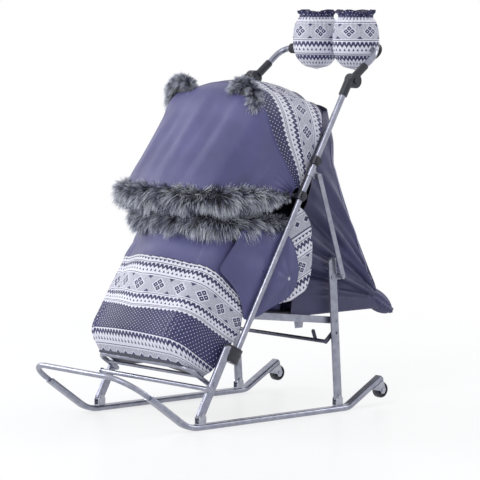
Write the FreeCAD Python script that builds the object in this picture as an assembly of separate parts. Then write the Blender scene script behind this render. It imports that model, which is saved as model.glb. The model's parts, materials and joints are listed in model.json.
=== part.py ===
import FreeCAD, Part
import math
import os

V = FreeCAD.Vector

# Sled stroller: two runners, a folding tube frame, a reclining seat and soft covers.
# Millimetres, +Z up, the front points along -Y, the child's left side is +X.
# The origin is under the middle of the whole stroller, on the ground.

# Runners, flat-oval tube lying on its broad face
RUNNER_X = 205.0
RUNNER_W = 30.0
RUNNER_T = 14.0
RUNNER_REAR_CORNER_Y = 500.0
RUNNER_FRONT_CORNER_Y = -30.0
FRONT_RISE = 36.0
FRONT_RISE_LENGTH = 152.0
REAR_RISE = 30.0
REAR_RISE_LENGTH = 134.0
RUNNER_FRONT_BEND_R = 90.0
RUNNER_REAR_BEND_R = 48.0

# Front hoop, round tube that plugs into the runner noses
HOOP_R = 7.0
HOOP_LENGTH = 84.0
HOOP_CORNER_R = 82.0
HOOP_PLUG = 18.0

# Front legs, flat-oval tube with the broad face to the side
LEG_W = 25.0
LEG_T = 14.0
FRONT_PIVOT_Y = 10.0
PIVOT_Z = 36.0
FRONT_LEG_LEAN = 28.7
FRONT_LEG_LENGTH = 176.0

# Rear legs, flat-oval tube
REAR_LEG_X = 198.0
REAR_LEG_T = 12.0
REAR_PIVOT_Y = 475.0
REAR_LEG_LEAN = -3.5
REAR_LEG_LENGTH = 352.0

# Handle tubes, one straight round tube each side
HANDLE_X = 200.0
HANDLE_R = 8.0
HANDLE_LEAN = 29.4
HANDLE_PIVOT_OFFSET = 35.4
HANDLE_PIVOT_ALONG = 166.5
HANDLE_LENGTH = 767.0
HANDLE_STUB = 12.0

# Pins, brackets and running clearances
PIN_R = 3.5
PIN_CLEAR = 0.3
SIDE_CLEAR = 0.3
PLATE_T = 2.0
BRACKET_LENGTH = 22.0
BRACKET_BASE_T = 2.0
RIVET_HEAD_R = 5.5
RIVET_HEAD_T = 1.5
SEAT_GAP = 0.3

# Seat rails, from the handle tubes to the rear legs
RAIL_X = 184.0
RAIL_W = 18.0
RAIL_T = 6.0
RAIL_FRONT_ALONG = 120.0
RAIL_REAR_ALONG = 200.0

# Rear cross tube and fold-lock bar
CROSS_R = 7.0
CROSS_FORWARD = 34.0
LOCK_ALONG = 168.0
LOCK_BAR_DROP = 20.0
LOCK_BAR_FORWARD = 26.0
LOCK_BAR_R = 5.0
LOCK_STRAP_T = 3.0
LOCK_STRAP_W = 12.0

# Recline plates under the rear cross tube
RECLINE_X = 96.0
RECLINE_T = 3.0
RECLINE_TOP_W = 34.0
RECLINE_LOW_W = 24.0
RECLINE_DROP = 30.0

# Brace links, thin flat bars from the rear legs up to clamps on the handle tubes
LINK_T = 3.0
LINK_W = 14.0
LINK_X = 215.8
LINK_LOW_ALONG = 314.0
LINK_LOW_BACK = 20.0
CLAMP_ALONG = 523.0
CLAMP_WALL = 2.5
CLAMP_WIDTH = 22.0
CLAMP_EAR = 17.0

# Hood collars on the handle tubes
COLLAR_LOW_ALONG = CLAMP_ALONG - 67.0
COLLAR_HIGH_ALONG = CLAMP_ALONG + 33.0
COLLAR_R = 12.5
COLLAR_LENGTH = 24.0
COLLAR_STUD_R = 9.0
COLLAR_STUD_T = 1.5

# Handle knuckles, two-part drums that let the handle bar tilt
DRUM_R = 19.0
DRUM_HALF_T = 12.5
DRUM_GAP = 0.4
DRUM_X = 196.0
DRUM_SPINE_R = 5.0
DRUM_AHEAD = 16.0
SOCKET_R = 11.5
SOCKET_OVERLAP = 48.0
BUTTON_R = 8.0
BUTTON_TRAVEL = 3.0
BUTTON_T = 5.0
BUTTON_WELL = 6.0

# Handle bar above the knuckles
BAR_LEAN = 52.0
BAR_REACH = 126.0
BAR_R = 8.0
BAR_CORNER_R = 32.0
BAR_SOCKET_REACH = 62.0
GRIP_R = 13.5
GRIP_LENGTH = 96.0
GRIP_END = 36.0

# Mittens on the handle bar
MITTEN_W = 132.0
MITTEN_D = 104.0
MITTEN_H = 154.0
MITTEN_LEFT_X = 98.0
MITTEN_RIGHT_X = -54.0
MITTEN_RISE = 24.0

# Footrest frame, pivoted on the front legs
FOOTREST_R = 6.0
FOOTREST_PIVOT_ALONG = 84.0
FOOTREST_ANGLE = 145.3
FOOTREST_LENGTH = 79.0
FOOTREST_X = 184.0
FOOTREST_CORNER_R = 36.0
FOOTREST_MID = 0.45

# Front cross tube between the front legs
CROSSBAR_R = 6.0
CROSSBAR_ALONG = 64.0
CROSSBAR_AHEAD = 20.0
CROSSBAR_CAP = 10.0

# Transport wheels under the rear tips
WHEEL_R = 21.0
WHEEL_T = 18.0
WHEEL_Y = 619.0
WHEEL_Z = 42.0
WHEEL_HUB_R = 9.0
WHEEL_AXLE_R = 3.0
WHEEL_PLATE_W = 20.0

# Seat pad and backrest
PAD_T = 30.0
PAD_HALF_W = 160.0
PAD_CROWN = 10.0
PAD_EDGE_R = 12.0
SEAT_BOARD_T = 5.0
SEAT_LENGTH = 186.0
BACK_HINGE_BACK = 4.0
BACK_LENGTH = 300.0
BACK_HALF_W = 168.0
BACK_CORNER_R = 92.0
BACK_BOARD_T = 6.0
BACK_PAD_T = 22.0
HINGE_KNUCKLE_R = 5.0
HINGE_PIN_R = 2.2

# Hood, cloth over bows that turn about the lower collars
CLOTH_T = 5.0
HOOD_INSET = 13.0
HOOD_HALF_W = HANDLE_X - HOOD_INSET
HOOD_BASE = 34.0
HOOD_FRONT_ANGLE = 175.0
HOOD_GAP_ANGLE = 0.4
BOW_TUBE_R = 4.0
BOW_EYE_R = 6.0
FUR_R = 24.0
EAR_X = 123.0
EAR_R = 42.0
EAR_T = 24.0
EAR_ANGLE = 118.2
EAR_RISE = 6.0

# Rear tent, the hanging cloth behind the handle tubes
TENT_HALF_W = HANDLE_X - 19.5
TENT_FLOOR_Z = 253.0
TENT_REAR_Y = 680.0
TENT_FRONT_Y = 330.0
SIDE_FOLDS = 5
HEM_FOLD = 0.2
REAR_FOLDS = 5

# Foot muff, the leg bag over the footrest
MUFF_HALF_W = HANDLE_X - HOOD_INSET
MUFF_WALL = 9.0
MUFF_FUR_R = 22.0
MUFF_FUR_BACK_Y = 252.0
MUFF_FUR_BACK_Z = 468.0

# Side flaps between the muff and the hood
FLAP_T = 4.4
FLAP_X = MUFF_HALF_W + SEAT_GAP + FLAP_T


def turn(y, z, angle):
    a = math.radians(angle)
    c = math.cos(a)
    s = math.sin(a)
    return y * c - z * s, y * s + z * c


def along(start, lean, distance, ahead=0.0):
    a = math.radians(lean)
    y = start[0] + distance * math.sin(a) - ahead * math.cos(a)
    z = start[1] + distance * math.cos(a) + ahead * math.sin(a)
    return y, z


def rounded_path(points, radii):
    edges = []
    start = points[0]
    for i in range(1, len(points) - 1):
        corner = points[i]
        before = (points[i - 1] - corner).normalize()
        after = (points[i + 1] - corner).normalize()
        half = before.getAngle(after) / 2.0
        cut = radii[i - 1] / math.tan(half)
        first = corner + before * cut
        last = corner + after * cut
        middle = before + after
        middle.normalize()
        centre = corner + middle * (radii[i - 1] / math.sin(half))
        top = centre - middle * radii[i - 1]
        if (first - start).Length > 1e-6:
            edges.append(Part.LineSegment(start, first).toShape())
        edges.append(Part.Arc(first, top, last).toShape())
        start = last
    edges.append(Part.LineSegment(start, points[-1]).toShape())
    return Part.Wire(edges)


def sweep(path, section):
    pipe = Part.BRepOffsetAPI.MakePipeShell(path)
    pipe.add(section)
    pipe.build()
    pipe.makeSolid()
    shape = pipe.shape()
    if shape.Volume < 0:
        shape.reverse()
    return shape


def round_section(point, direction, radius):
    return Part.Wire(Part.makeCircle(radius, point, direction))


def oval_section(point, wide, thin, width, thickness):
    half = (width - thickness) / 2.0
    r = thickness / 2.0
    a = point + wide * half
    b = point - wide * half
    edges = [
        Part.LineSegment(b + thin * r, a + thin * r).toShape(),
        Part.Arc(a + thin * r, a + wide * r, a - thin * r).toShape(),
        Part.LineSegment(a - thin * r, b - thin * r).toShape(),
        Part.Arc(b - thin * r, b - wide * r, b + thin * r).toShape(),
    ]
    return Part.Wire(edges)


def round_tube(points, radii, radius):
    direction = (points[1] - points[0]).normalize()
    return sweep(rounded_path(points, radii), round_section(points[0], direction, radius))


def pin(x0, x1, y, z, radius):
    return Part.makeCylinder(radius, abs(x1 - x0), V(min(x0, x1), y, z), V(1, 0, 0))


def fuse(shapes):
    shape = shapes[0]
    for other in shapes[1:]:
        shape = shape.fuse(other)
    return shape.removeSplitter()


def slab(outline, x0, x1):
    wire = Part.makePolygon([V(x0, y, z) for y, z in outline] + [V(x0, *outline[0])])
    return Part.Face(wire).extrude(V(x1 - x0, 0, 0))


def stadium(p, q, width, x0, x1):
    dy = q[0] - p[0]
    dz = q[1] - p[1]
    n = math.hypot(dy, dz)
    ny = -dz / n * width / 2.0
    nz = dy / n * width / 2.0
    uy = dy / n * width / 2.0
    uz = dz / n * width / 2.0
    edges = [
        Part.LineSegment(V(x0, p[0] + ny, p[1] + nz), V(x0, q[0] + ny, q[1] + nz)).toShape(),
        Part.Arc(V(x0, q[0] + ny, q[1] + nz), V(x0, q[0] + uy, q[1] + uz),
                 V(x0, q[0] - ny, q[1] - nz)).toShape(),
        Part.LineSegment(V(x0, q[0] - ny, q[1] - nz), V(x0, p[0] - ny, p[1] - nz)).toShape(),
        Part.Arc(V(x0, p[0] - ny, p[1] - nz), V(x0, p[0] - uy, p[1] - uz),
                 V(x0, p[0] + ny, p[1] + nz)).toShape(),
    ]
    return Part.Face(Part.Wire(edges)).extrude(V(x1 - x0, 0, 0))


def mirrored(shape):
    return shape.mirror(V(0, 0, 0), V(1, 0, 0))


# Pivots in side view, each as (y, z)
A = (FRONT_PIVOT_Y, PIVOT_Z)
D = (REAR_PIVOT_Y, PIVOT_Z)
H = along(A, FRONT_LEG_LEAN, HANDLE_PIVOT_ALONG, -HANDLE_PIVOT_OFFSET)
P = along(H, HANDLE_LEAN, RAIL_FRONT_ALONG)
C = along(D, REAR_LEG_LEAN, RAIL_REAR_ALONG)
F = along(D, REAR_LEG_LEAN, LINK_LOW_ALONG, -LINK_LOW_BACK)
G = along(H, HANDLE_LEAN, CLAMP_ALONG, -(HANDLE_R + CLAMP_EAR - LINK_W / 2.0))
B = along(H, HANDLE_LEAN, COLLAR_LOW_ALONG)
K = along(H, HANDLE_LEAN, HANDLE_LENGTH + SOCKET_OVERLAP - DRUM_R, -DRUM_AHEAD)
L = along(D, REAR_LEG_LEAN, LOCK_ALONG)
Q = along(A, FRONT_LEG_LEAN, FOOTREST_PIVOT_ALONG)
W = (WHEEL_Y, WHEEL_Z)
RAIL_SLOPE = math.degrees(math.atan2(C[1] - P[1], C[0] - P[0]))

solids = {}


def both(name, shape):
    solids[name + "_left"] = shape
    solids[name + "_right"] = mirrored(shape)


# Runner: front rise, ground length and rear rise in one bent flat-oval tube
def runner_points(x):
    a = math.radians(FRONT_RISE)
    b = math.radians(REAR_RISE)
    z = RUNNER_T / 2.0
    nose = V(x, RUNNER_FRONT_CORNER_Y - FRONT_RISE_LENGTH * math.cos(a),
             z + FRONT_RISE_LENGTH * math.sin(a))
    tail = V(x, RUNNER_REAR_CORNER_Y + REAR_RISE_LENGTH * math.cos(b),
             z + REAR_RISE_LENGTH * math.sin(b))
    return [nose, V(x, RUNNER_FRONT_CORNER_Y, z), V(x, RUNNER_REAR_CORNER_Y, z), tail]


def make_runner():
    points = runner_points(RUNNER_X)
    direction = (points[1] - points[0]).normalize()
    section = oval_section(points[0], V(1, 0, 0), V(1, 0, 0).cross(direction), RUNNER_W, RUNNER_T)
    body = sweep(rounded_path(points, [RUNNER_FRONT_BEND_R, RUNNER_REAR_BEND_R]), section)
    bore = Part.makeCylinder(HOOP_R - 0.8 + SEAT_GAP, HOOP_PLUG + SEAT_GAP, points[0], direction)
    return body.cut(bore)


both("runner", make_runner())

# Front hoop: its necked ends sit in the runner noses
nose = runner_points(RUNNER_X)[0]
rise = (nose - runner_points(RUNNER_X)[1]).normalize()
far = nose + rise * HOOP_LENGTH


def flip(v):
    return V(-v.x, v.y, v.z)


hoop = round_tube([nose + rise * SEAT_GAP, far, flip(far), flip(nose + rise * SEAT_GAP)],
                  [HOOP_CORNER_R] * 2, HOOP_R)
plug = Part.makeCylinder(HOOP_R - 0.8, HOOP_PLUG + SEAT_GAP, nose + rise * SEAT_GAP, rise * -1)
solids["front_hoop"] = fuse([hoop, plug, mirrored(plug)])


# Foot bracket: an open U of plate on the runner with its rivet through the leg
def foot_bracket(x, y, thickness):
    inner = thickness / 2.0 + SIDE_CLEAR
    outer = inner + PLATE_T
    half = BRACKET_LENGTH / 2.0
    top = PIVOT_Z + RIVET_HEAD_R + 1.0
    base = Part.makeBox(2 * outer, BRACKET_LENGTH, BRACKET_BASE_T, V(x - outer, y - half, RUNNER_T))
    shapes = [base]
    for side in (-1, 1):
        x0 = x + side * inner
        x1 = x + side * outer
        outline = [(y - half, RUNNER_T), (y + half, RUNNER_T), (y + half, PIVOT_Z - 4.0),
                   (y + half - 7.0, top), (y - half + 7.0, top), (y - half, PIVOT_Z - 4.0)]
        shapes.append(slab(outline, x0, x1))
        shapes.append(pin(x1, x1 + side * RIVET_HEAD_T, y, PIVOT_Z, RIVET_HEAD_R))
    shapes.append(pin(x - outer, x + outer, y, PIVOT_Z, PIN_R))
    return fuse(shapes)


both("front_bracket", foot_bracket(RUNNER_X, FRONT_PIVOT_Y, LEG_T))
both("rear_bracket", foot_bracket(REAR_LEG_X, REAR_PIVOT_Y, REAR_LEG_T))


# Flat-oval leg with round ends and a pivot hole at its foot
def make_leg(x, foot, lean, length, width, thickness):
    head = along(foot, lean, length)
    leg = stadium(foot, head, width, x - thickness / 2.0, x + thickness / 2.0)
    a = math.radians(lean)
    middle = along(foot, lean, length / 2.0)
    section = oval_section(V(x, *along(foot, lean, -width)), V(0, math.cos(a), -math.sin(a)),
                           V(1, 0, 0), width, thickness)
    rod = Part.Face(section).extrude(V(0, math.sin(a), math.cos(a)) * (length + 2 * width))
    leg = leg.common(rod)
    hole = pin(x - thickness, x + thickness, foot[0], foot[1], PIN_R + PIN_CLEAR)
    return leg.cut(hole)


# Front leg with the bore that carries the footrest
front_leg = make_leg(RUNNER_X, A, FRONT_LEG_LEAN, FRONT_LEG_LENGTH, LEG_W, LEG_T)
front_leg = front_leg.cut(pin(RUNNER_X - LEG_T, RUNNER_X + LEG_T, Q[0], Q[1], PIN_R + PIN_CLEAR))
both("front_leg", front_leg)

# Front cross tube: lies on the front faces of the legs, capped at both ends
cross_point = along(A, FRONT_LEG_LEAN, CROSSBAR_ALONG, LEG_W / 2.0 + CROSSBAR_R)
reach = RUNNER_X + LEG_T / 2.0
bar = pin(-reach, reach, cross_point[0], cross_point[1], CROSSBAR_R)
caps = [pin(side * reach, side * (reach + CROSSBAR_CAP / 2.0), cross_point[0], cross_point[1],
            CROSSBAR_R + 1.5) for side in (-1, 1)]
solids["front_crossbar"] = fuse([bar] + caps)


# Hinge bracket between a front leg and its handle tube
def hinge_bracket():
    a = math.radians(FRONT_LEG_LEAN)
    inner = HANDLE_R + SIDE_CLEAR
    outer = inner + PLATE_T
    back = LEG_W / 2.0
    ear_r = 9.0
    shapes = []
    low = along(A, FRONT_LEG_LEAN, HANDLE_PIVOT_ALONG - 15.0, -back)
    high = along(A, FRONT_LEG_LEAN, HANDLE_PIVOT_ALONG + 3.0, -back)
    for side in (-1, 1):
        x0 = HANDLE_X + side * inner
        x1 = HANDLE_X + side * outer
        deep_low = along(A, FRONT_LEG_LEAN, HANDLE_PIVOT_ALONG - ear_r, -HANDLE_PIVOT_OFFSET)
        deep_high = along(A, FRONT_LEG_LEAN, HANDLE_PIVOT_ALONG + ear_r, -HANDLE_PIVOT_OFFSET)
        shapes.append(slab([low, deep_low, deep_high, high], x0, x1))
        shapes.append(pin(x0, x1, H[0], H[1], ear_r))
        shapes.append(pin(x1, x1 + side * RIVET_HEAD_T, H[0], H[1], RIVET_HEAD_R))
    low_back = along(low, FRONT_LEG_LEAN, 0.0, -PLATE_T)
    high_back = along(high, FRONT_LEG_LEAN, 0.0, -PLATE_T)
    shapes.append(slab([low, low_back, high_back, high], HANDLE_X - outer, HANDLE_X + outer))
    shapes.append(pin(HANDLE_X - outer, HANDLE_X + outer, H[0], H[1], PIN_R))
    return fuse(shapes)


both("hinge_bracket", hinge_bracket())

# Footrest frame: a U of tube with a middle bar, its ends pinned in the front legs
foot_dir = V(0, math.cos(math.radians(FOOTREST_ANGLE)), math.sin(math.radians(FOOTREST_ANGLE)))
foot_near = V(FOOTREST_X, Q[0], Q[1])
foot_far = foot_near + foot_dir * FOOTREST_LENGTH
footrest = round_tube([foot_near, foot_far, flip(foot_far), flip(foot_near)],
                      [FOOTREST_CORNER_R] * 2, FOOTREST_R)
mid = foot_near + foot_dir * (FOOTREST_LENGTH * FOOTREST_MID)
mid_bar = pin(-FOOTREST_X, FOOTREST_X, mid.y, mid.z, FOOTREST_R - 1.5)
foot_parts = [footrest, mid_bar]
for side in (-1, 1):
    foot_parts.append(Part.makeSphere(FOOTREST_R, V(side * FOOTREST_X, Q[0], Q[1])))
    foot_parts.append(pin(side * FOOTREST_X, side * (RUNNER_X + LEG_T / 2.0), Q[0], Q[1], PIN_R))
    foot_parts.append(pin(side * (RUNNER_X + LEG_T / 2.0 + SIDE_CLEAR),
                          side * (RUNNER_X + LEG_T / 2.0 + SIDE_CLEAR + RIVET_HEAD_T),
                          Q[0], Q[1], RIVET_HEAD_R))
    foot_parts.append(pin(side * (RUNNER_X + LEG_T / 2.0 - 1.0),
                          side * (RUNNER_X + LEG_T / 2.0 + SIDE_CLEAR), Q[0], Q[1], PIN_R))
solids["footrest_frame"] = fuse(foot_parts)

# Rear leg with the holes for the rail pin and the lock bar pin, and the link ear
rear_leg = make_leg(REAR_LEG_X, D, REAR_LEG_LEAN, REAR_LEG_LENGTH, LEG_W, REAR_LEG_T)
for spot, radius in ((C, PIN_R + PIN_CLEAR), (L, PIN_R + PIN_CLEAR)):
    rear_leg = rear_leg.cut(pin(REAR_LEG_X - REAR_LEG_T, REAR_LEG_X + REAR_LEG_T, spot[0], spot[1],
                                radius))
leg_face = REAR_LEG_X + REAR_LEG_T / 2.0
link_in = LINK_X - LINK_T / 2.0
ear_root = along(D, REAR_LEG_LEAN, LINK_LOW_ALONG, 2.0)
ear = stadium(ear_root, F, 16.0, leg_face - 1.0, leg_face + PLATE_T)
boss = pin(leg_face, link_in - SIDE_CLEAR, F[0], F[1], 6.0)
stud = pin(leg_face, LINK_X + LINK_T / 2.0 + SIDE_CLEAR, F[0], F[1], PIN_R)
head = pin(LINK_X + LINK_T / 2.0 + SIDE_CLEAR, LINK_X + LINK_T / 2.0 + SIDE_CLEAR + RIVET_HEAD_T,
           F[0], F[1], RIVET_HEAD_R)
both("rear_leg", fuse([rear_leg, ear, boss, stud, head]))

# Fold-lock bar: a round bar on two end straps, each with a hook over the cross tube
bar_spot = along(L, REAR_LEG_LEAN, -LOCK_BAR_DROP, LOCK_BAR_FORWARD)
strap_out = RAIL_X - RAIL_T / 2.0 + LOCK_STRAP_T
strap_x1 = REAR_LEG_X - REAR_LEG_T / 2.0 - SIDE_CLEAR
strap_x0 = strap_x1 - LOCK_STRAP_T
lock_parts = [pin(-strap_x0 - 1.0, strap_x0 + 1.0, bar_spot[0], bar_spot[1], LOCK_BAR_R)]
for side in (-1, 1):
    strap = stadium(L, bar_spot, LOCK_STRAP_W, strap_x0, strap_x1)
    stud = pin(strap_x0, REAR_LEG_X + REAR_LEG_T / 2.0 - 1.0, L[0], L[1], PIN_R)
    lock_parts += [strap, stud] if side > 0 else [mirrored(strap), mirrored(stud)]
    hook_low = (bar_spot[0], bar_spot[1])
    hook_high = (bar_spot[0] - 9.0, bar_spot[1] + 24.0)
    hook = stadium(hook_low, hook_high, LOCK_STRAP_W - 2.0, side * 150.0, side * (150.0 + LOCK_STRAP_T))
    lock_parts.append(hook)
solids["lock_bar"] = fuse(lock_parts)


# Seat rail: flat bar with a boss by the handle tube and a pin through the rear leg
def seat_rail():
    x0 = RAIL_X - RAIL_T / 2.0
    x1 = RAIL_X + RAIL_T / 2.0
    rail = stadium(P, C, RAIL_W, x0, x1)
    front = pin(x1, HANDLE_X - HANDLE_R - 0.5, P[0], P[1], 7.0)
    rear = pin(x1, REAR_LEG_X + REAR_LEG_T / 2.0 - 1.0, C[0], C[1], PIN_R)
    return fuse([rail, front, rear])


both("seat_rail", seat_rail())


def rail_spot(distance, above):
    y, z = turn(distance, above, RAIL_SLOPE)
    return P[0] + y, P[1] + z


# Cross tubes that join the two rails, front and rear
rail_length = math.hypot(C[0] - P[0], C[1] - P[1])
tube_reach = RAIL_X - RAIL_T / 2.0
spot = rail_spot(rail_length - CROSS_FORWARD, 0.0)
solids["seat_rear_tube"] = pin(-tube_reach, tube_reach, spot[0], spot[1], CROSS_R)
spot = rail_spot(CROSS_R + 4.0, 0.0)
solids["seat_front_tube"] = pin(-tube_reach, tube_reach, spot[0], spot[1], CROSS_R)


# Padded block with a crowned top, drawn-in sides and round corners
def cushion(half_w, y0, y1, z0, thickness, crown, corner):
    sections = []
    for z, inset, r in ((0.0, 5.0, corner - 2.0), (thickness * 0.35, 0.0, corner),
                        (thickness * 0.7, 1.0, corner), (thickness, 9.0, corner - 4.0)):
        sections.append(rounded_rect(half_w - inset, y0 + inset, y1 - inset, z0 + z, r))
    body = Part.makeLoft(sections, True, False)
    return body


def rounded_rect(half_w, y0, y1, z, r):
    k = r * (1.0 - math.sqrt(0.5))
    corners = [(half_w, y0, -1, 1), (half_w, y1, -1, -1), (-half_w, y1, 1, -1), (-half_w, y0, 1, 1)]
    edges = []
    ends = []
    for i, (x, y, sx, sy) in enumerate(corners):
        first = V(x + sx * r, y, z) if i % 2 == 0 else V(x, y + sy * r, z)
        last = V(x, y + sy * r, z) if i % 2 == 0 else V(x + sx * r, y, z)
        middle = V(x + sx * k, y + sy * k, z)
        ends.append((first, last))
        edges.append(Part.Arc(first, middle, last).toShape())
    ordered = []
    for i in range(4):
        ordered.append(edges[i])
        ordered.append(Part.LineSegment(ends[i][1], ends[(i + 1) % 4][0]).toShape())
    return Part.Wire(ordered)


def place(shape, y, z, angle):
    moved = shape.copy()
    moved.rotate(V(0, 0, 0), V(1, 0, 0), angle)
    moved.translate(V(0, y, z))
    return moved


# Seat board and pad on the rails
board_z = CROSS_R + SEAT_GAP
board_half = TENT_HALF_W - CLOTH_T - 1.0
board = Part.makeBox(2 * board_half, SEAT_LENGTH, SEAT_BOARD_T, V(-board_half, -30.0, board_z))
pad = cushion(PAD_HALF_W, -34.0, SEAT_LENGTH - 36.0, board_z + SEAT_BOARD_T + SEAT_GAP, PAD_T,
              PAD_CROWN, 26.0)
solids["seat_pad"] = place(pad, P[0], P[1], RAIL_SLOPE)

# Backrest: board with a rounded end and a pad, hinged behind the seat board
hinge_along = SEAT_LENGTH - 30.0 + BACK_HINGE_BACK + 8.0
hinge_above = board_z + SEAT_BOARD_T / 2.0
HINGE = rail_spot(hinge_along, hinge_above)
tabs = [board]
for side in (-1, 1):
    x0 = side * 60.0
    x1 = side * (100.0 - SIDE_CLEAR)
    tabs.append(pin(x0, x1, hinge_along, hinge_above, HINGE_KNUCKLE_R))
    tabs.append(Part.makeBox(abs(x1 - x0), hinge_along - SEAT_LENGTH + 30.0, SEAT_BOARD_T,
                             V(min(x0, x1), SEAT_LENGTH - 30.0, board_z)))
    tabs.append(pin(x0, side * 140.0, hinge_along, hinge_above, HINGE_PIN_R))
solids["seat_board"] = place(fuse(tabs), P[0], P[1], RAIL_SLOPE)


def d_outline(half_w, y0, y1, r, z, inset):
    w = half_w - inset
    a = y0 + inset
    b = y1 - inset
    k = r * (1.0 - math.sqrt(0.5))
    edges = [
        Part.LineSegment(V(-w, a, z), V(w, a, z)).toShape(),
        Part.LineSegment(V(w, a, z), V(w, b - r, z)).toShape(),
        Part.Arc(V(w, b - r, z), V(w - k, b - k, z), V(w - r, b, z)).toShape(),
        Part.LineSegment(V(w - r, b, z), V(-w + r, b, z)).toShape(),
        Part.Arc(V(-w + r, b, z), V(-w + k, b - k, z), V(-w, b - r, z)).toShape(),
        Part.LineSegment(V(-w, b - r, z), V(-w, a, z)).toShape(),
    ]
    return Part.Wire(edges)


back_board = Part.Face(d_outline(BACK_HALF_W, 8.0, BACK_LENGTH, BACK_CORNER_R, -BACK_BOARD_T / 2.0,
                                 0.0)).extrude(V(0, 0, BACK_BOARD_T))
back_sections = [d_outline(BACK_HALF_W, 10.0, BACK_LENGTH, BACK_CORNER_R,
                           BACK_BOARD_T / 2.0 + SEAT_GAP + z, inset)
                 for z, inset in ((0.0, 7.0), (7.0, 4.0), (15.0, 6.0), (BACK_PAD_T, 14.0))]
back_pad = Part.makeLoft(back_sections, True, False)
knuckles = [Part.makeCylinder(HINGE_KNUCKLE_R, 40.0, V(x, 0, 0), V(1, 0, 0)) for x in (-140.0, 100.0)]
webs = [Part.makeBox(40.0, 12.0, BACK_BOARD_T, V(x, 0, -BACK_BOARD_T / 2.0)) for x in (-140.0, 100.0)]
hinge_hole = pin(-BACK_HALF_W, BACK_HALF_W, 0.0, 0.0, HINGE_PIN_R + PIN_CLEAR)
solids["backrest_board"] = place(fuse([back_board] + knuckles + webs).cut(hinge_hole), HINGE[0], HINGE[1], 0.0)
solids["backrest_pad"] = place(back_pad, HINGE[0], HINGE[1], 0.0)

# Recline brackets: two plates welded under the rear cross tube
spot = rail_spot(rail_length - CROSS_FORWARD, 0.0)
plate = slab([(spot[0] - RECLINE_TOP_W / 2.0, spot[1]), (spot[0] + RECLINE_TOP_W / 2.0, spot[1]),
              (spot[0] + RECLINE_LOW_W / 2.0, spot[1] - RECLINE_DROP),
              (spot[0] - RECLINE_LOW_W / 2.0, spot[1] - RECLINE_DROP)],
             RECLINE_X, RECLINE_X + RECLINE_T)
solids["seat_rear_tube"] = fuse([solids["seat_rear_tube"], plate, mirrored(plate)])


# Handle tube with the hinge hole at its foot
def handle_tube():
    low = along(H, HANDLE_LEAN, -HANDLE_STUB)
    a = math.radians(HANDLE_LEAN)
    rod = Part.makeCylinder(HANDLE_R, HANDLE_LENGTH + HANDLE_STUB, V(HANDLE_X, *low),
                            V(0, math.sin(a), math.cos(a)))
    return rod.cut(pin(HANDLE_X - 20.0, HANDLE_X + 20.0, H[0], H[1], PIN_R + PIN_CLEAR))


both("handle_tube", handle_tube())


def on_handle(distance):
    return V(HANDLE_X, *along(H, HANDLE_LEAN, distance))


handle_dir = V(0, math.sin(math.radians(HANDLE_LEAN)), math.cos(math.radians(HANDLE_LEAN)))
handle_back = V(0, math.cos(math.radians(HANDLE_LEAN)), -math.sin(math.radians(HANDLE_LEAN)))


def collar(distance):
    start = on_handle(distance - COLLAR_LENGTH / 2.0)
    ring = Part.makeCylinder(COLLAR_R, COLLAR_LENGTH, start, handle_dir)
    ring = ring.makeChamfer(2.0, [e for e in ring.Edges if abs(e.Length - 2 * math.pi * COLLAR_R) < 1e-3])
    middle = on_handle(distance)
    lug = pin(HANDLE_X, HANDLE_X + COLLAR_R + COLLAR_STUD_T, middle.y, middle.z, COLLAR_STUD_R)
    bore = Part.makeCylinder(HANDLE_R + SEAT_GAP / 3.0, COLLAR_LENGTH * 2.0,
                             on_handle(distance - COLLAR_LENGTH), handle_dir)
    return fuse([ring, lug]).cut(bore)


both("lower_collar", collar(COLLAR_LOW_ALONG))
both("upper_collar", collar(COLLAR_HIGH_ALONG))


# Brace clamp: a band round the handle tube with an ear behind it
def brace_clamp():
    start = on_handle(CLAMP_ALONG - CLAMP_WIDTH / 2.0)
    band = Part.makeCylinder(HANDLE_R + CLAMP_WALL, CLAMP_WIDTH, start, handle_dir)
    root = along(H, HANDLE_LEAN, CLAMP_ALONG, -2.0)
    ear = stadium(root, G, 15.0, HANDLE_X + HANDLE_R - 2.0, HANDLE_X + HANDLE_R + 1.0)
    rear = stadium(root, G, 15.0, HANDLE_X - HANDLE_R - 1.0, HANDLE_X - HANDLE_R + 2.0)
    rivet = pin(HANDLE_X - HANDLE_R, HANDLE_X + HANDLE_R, G[0], G[1], PIN_R)
    bore = Part.makeCylinder(HANDLE_R + SEAT_GAP / 3.0, CLAMP_WIDTH * 4.0,
                             on_handle(CLAMP_ALONG - CLAMP_WIDTH * 2.0), handle_dir)
    return fuse([band, ear, rear, rivet]).cut(bore)


both("brace_clamp", brace_clamp())

# Brace link: thin flat bar, pinned on the rear leg
link = stadium(F, G, LINK_W, LINK_X - LINK_T / 2.0, LINK_X + LINK_T / 2.0)
both("brace_link", link.cut(pin(LINK_X - 10.0, LINK_X + 10.0, F[0], F[1], PIN_R + PIN_CLEAR)))


# Knuckle: the lower half carries the handle tube, the upper half the handle bar
def bar_along(distance):
    return V(DRUM_X, *along(K, BAR_LEAN, distance))


bar_dir = V(0, math.sin(math.radians(BAR_LEAN)), math.cos(math.radians(BAR_LEAN)))


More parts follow.
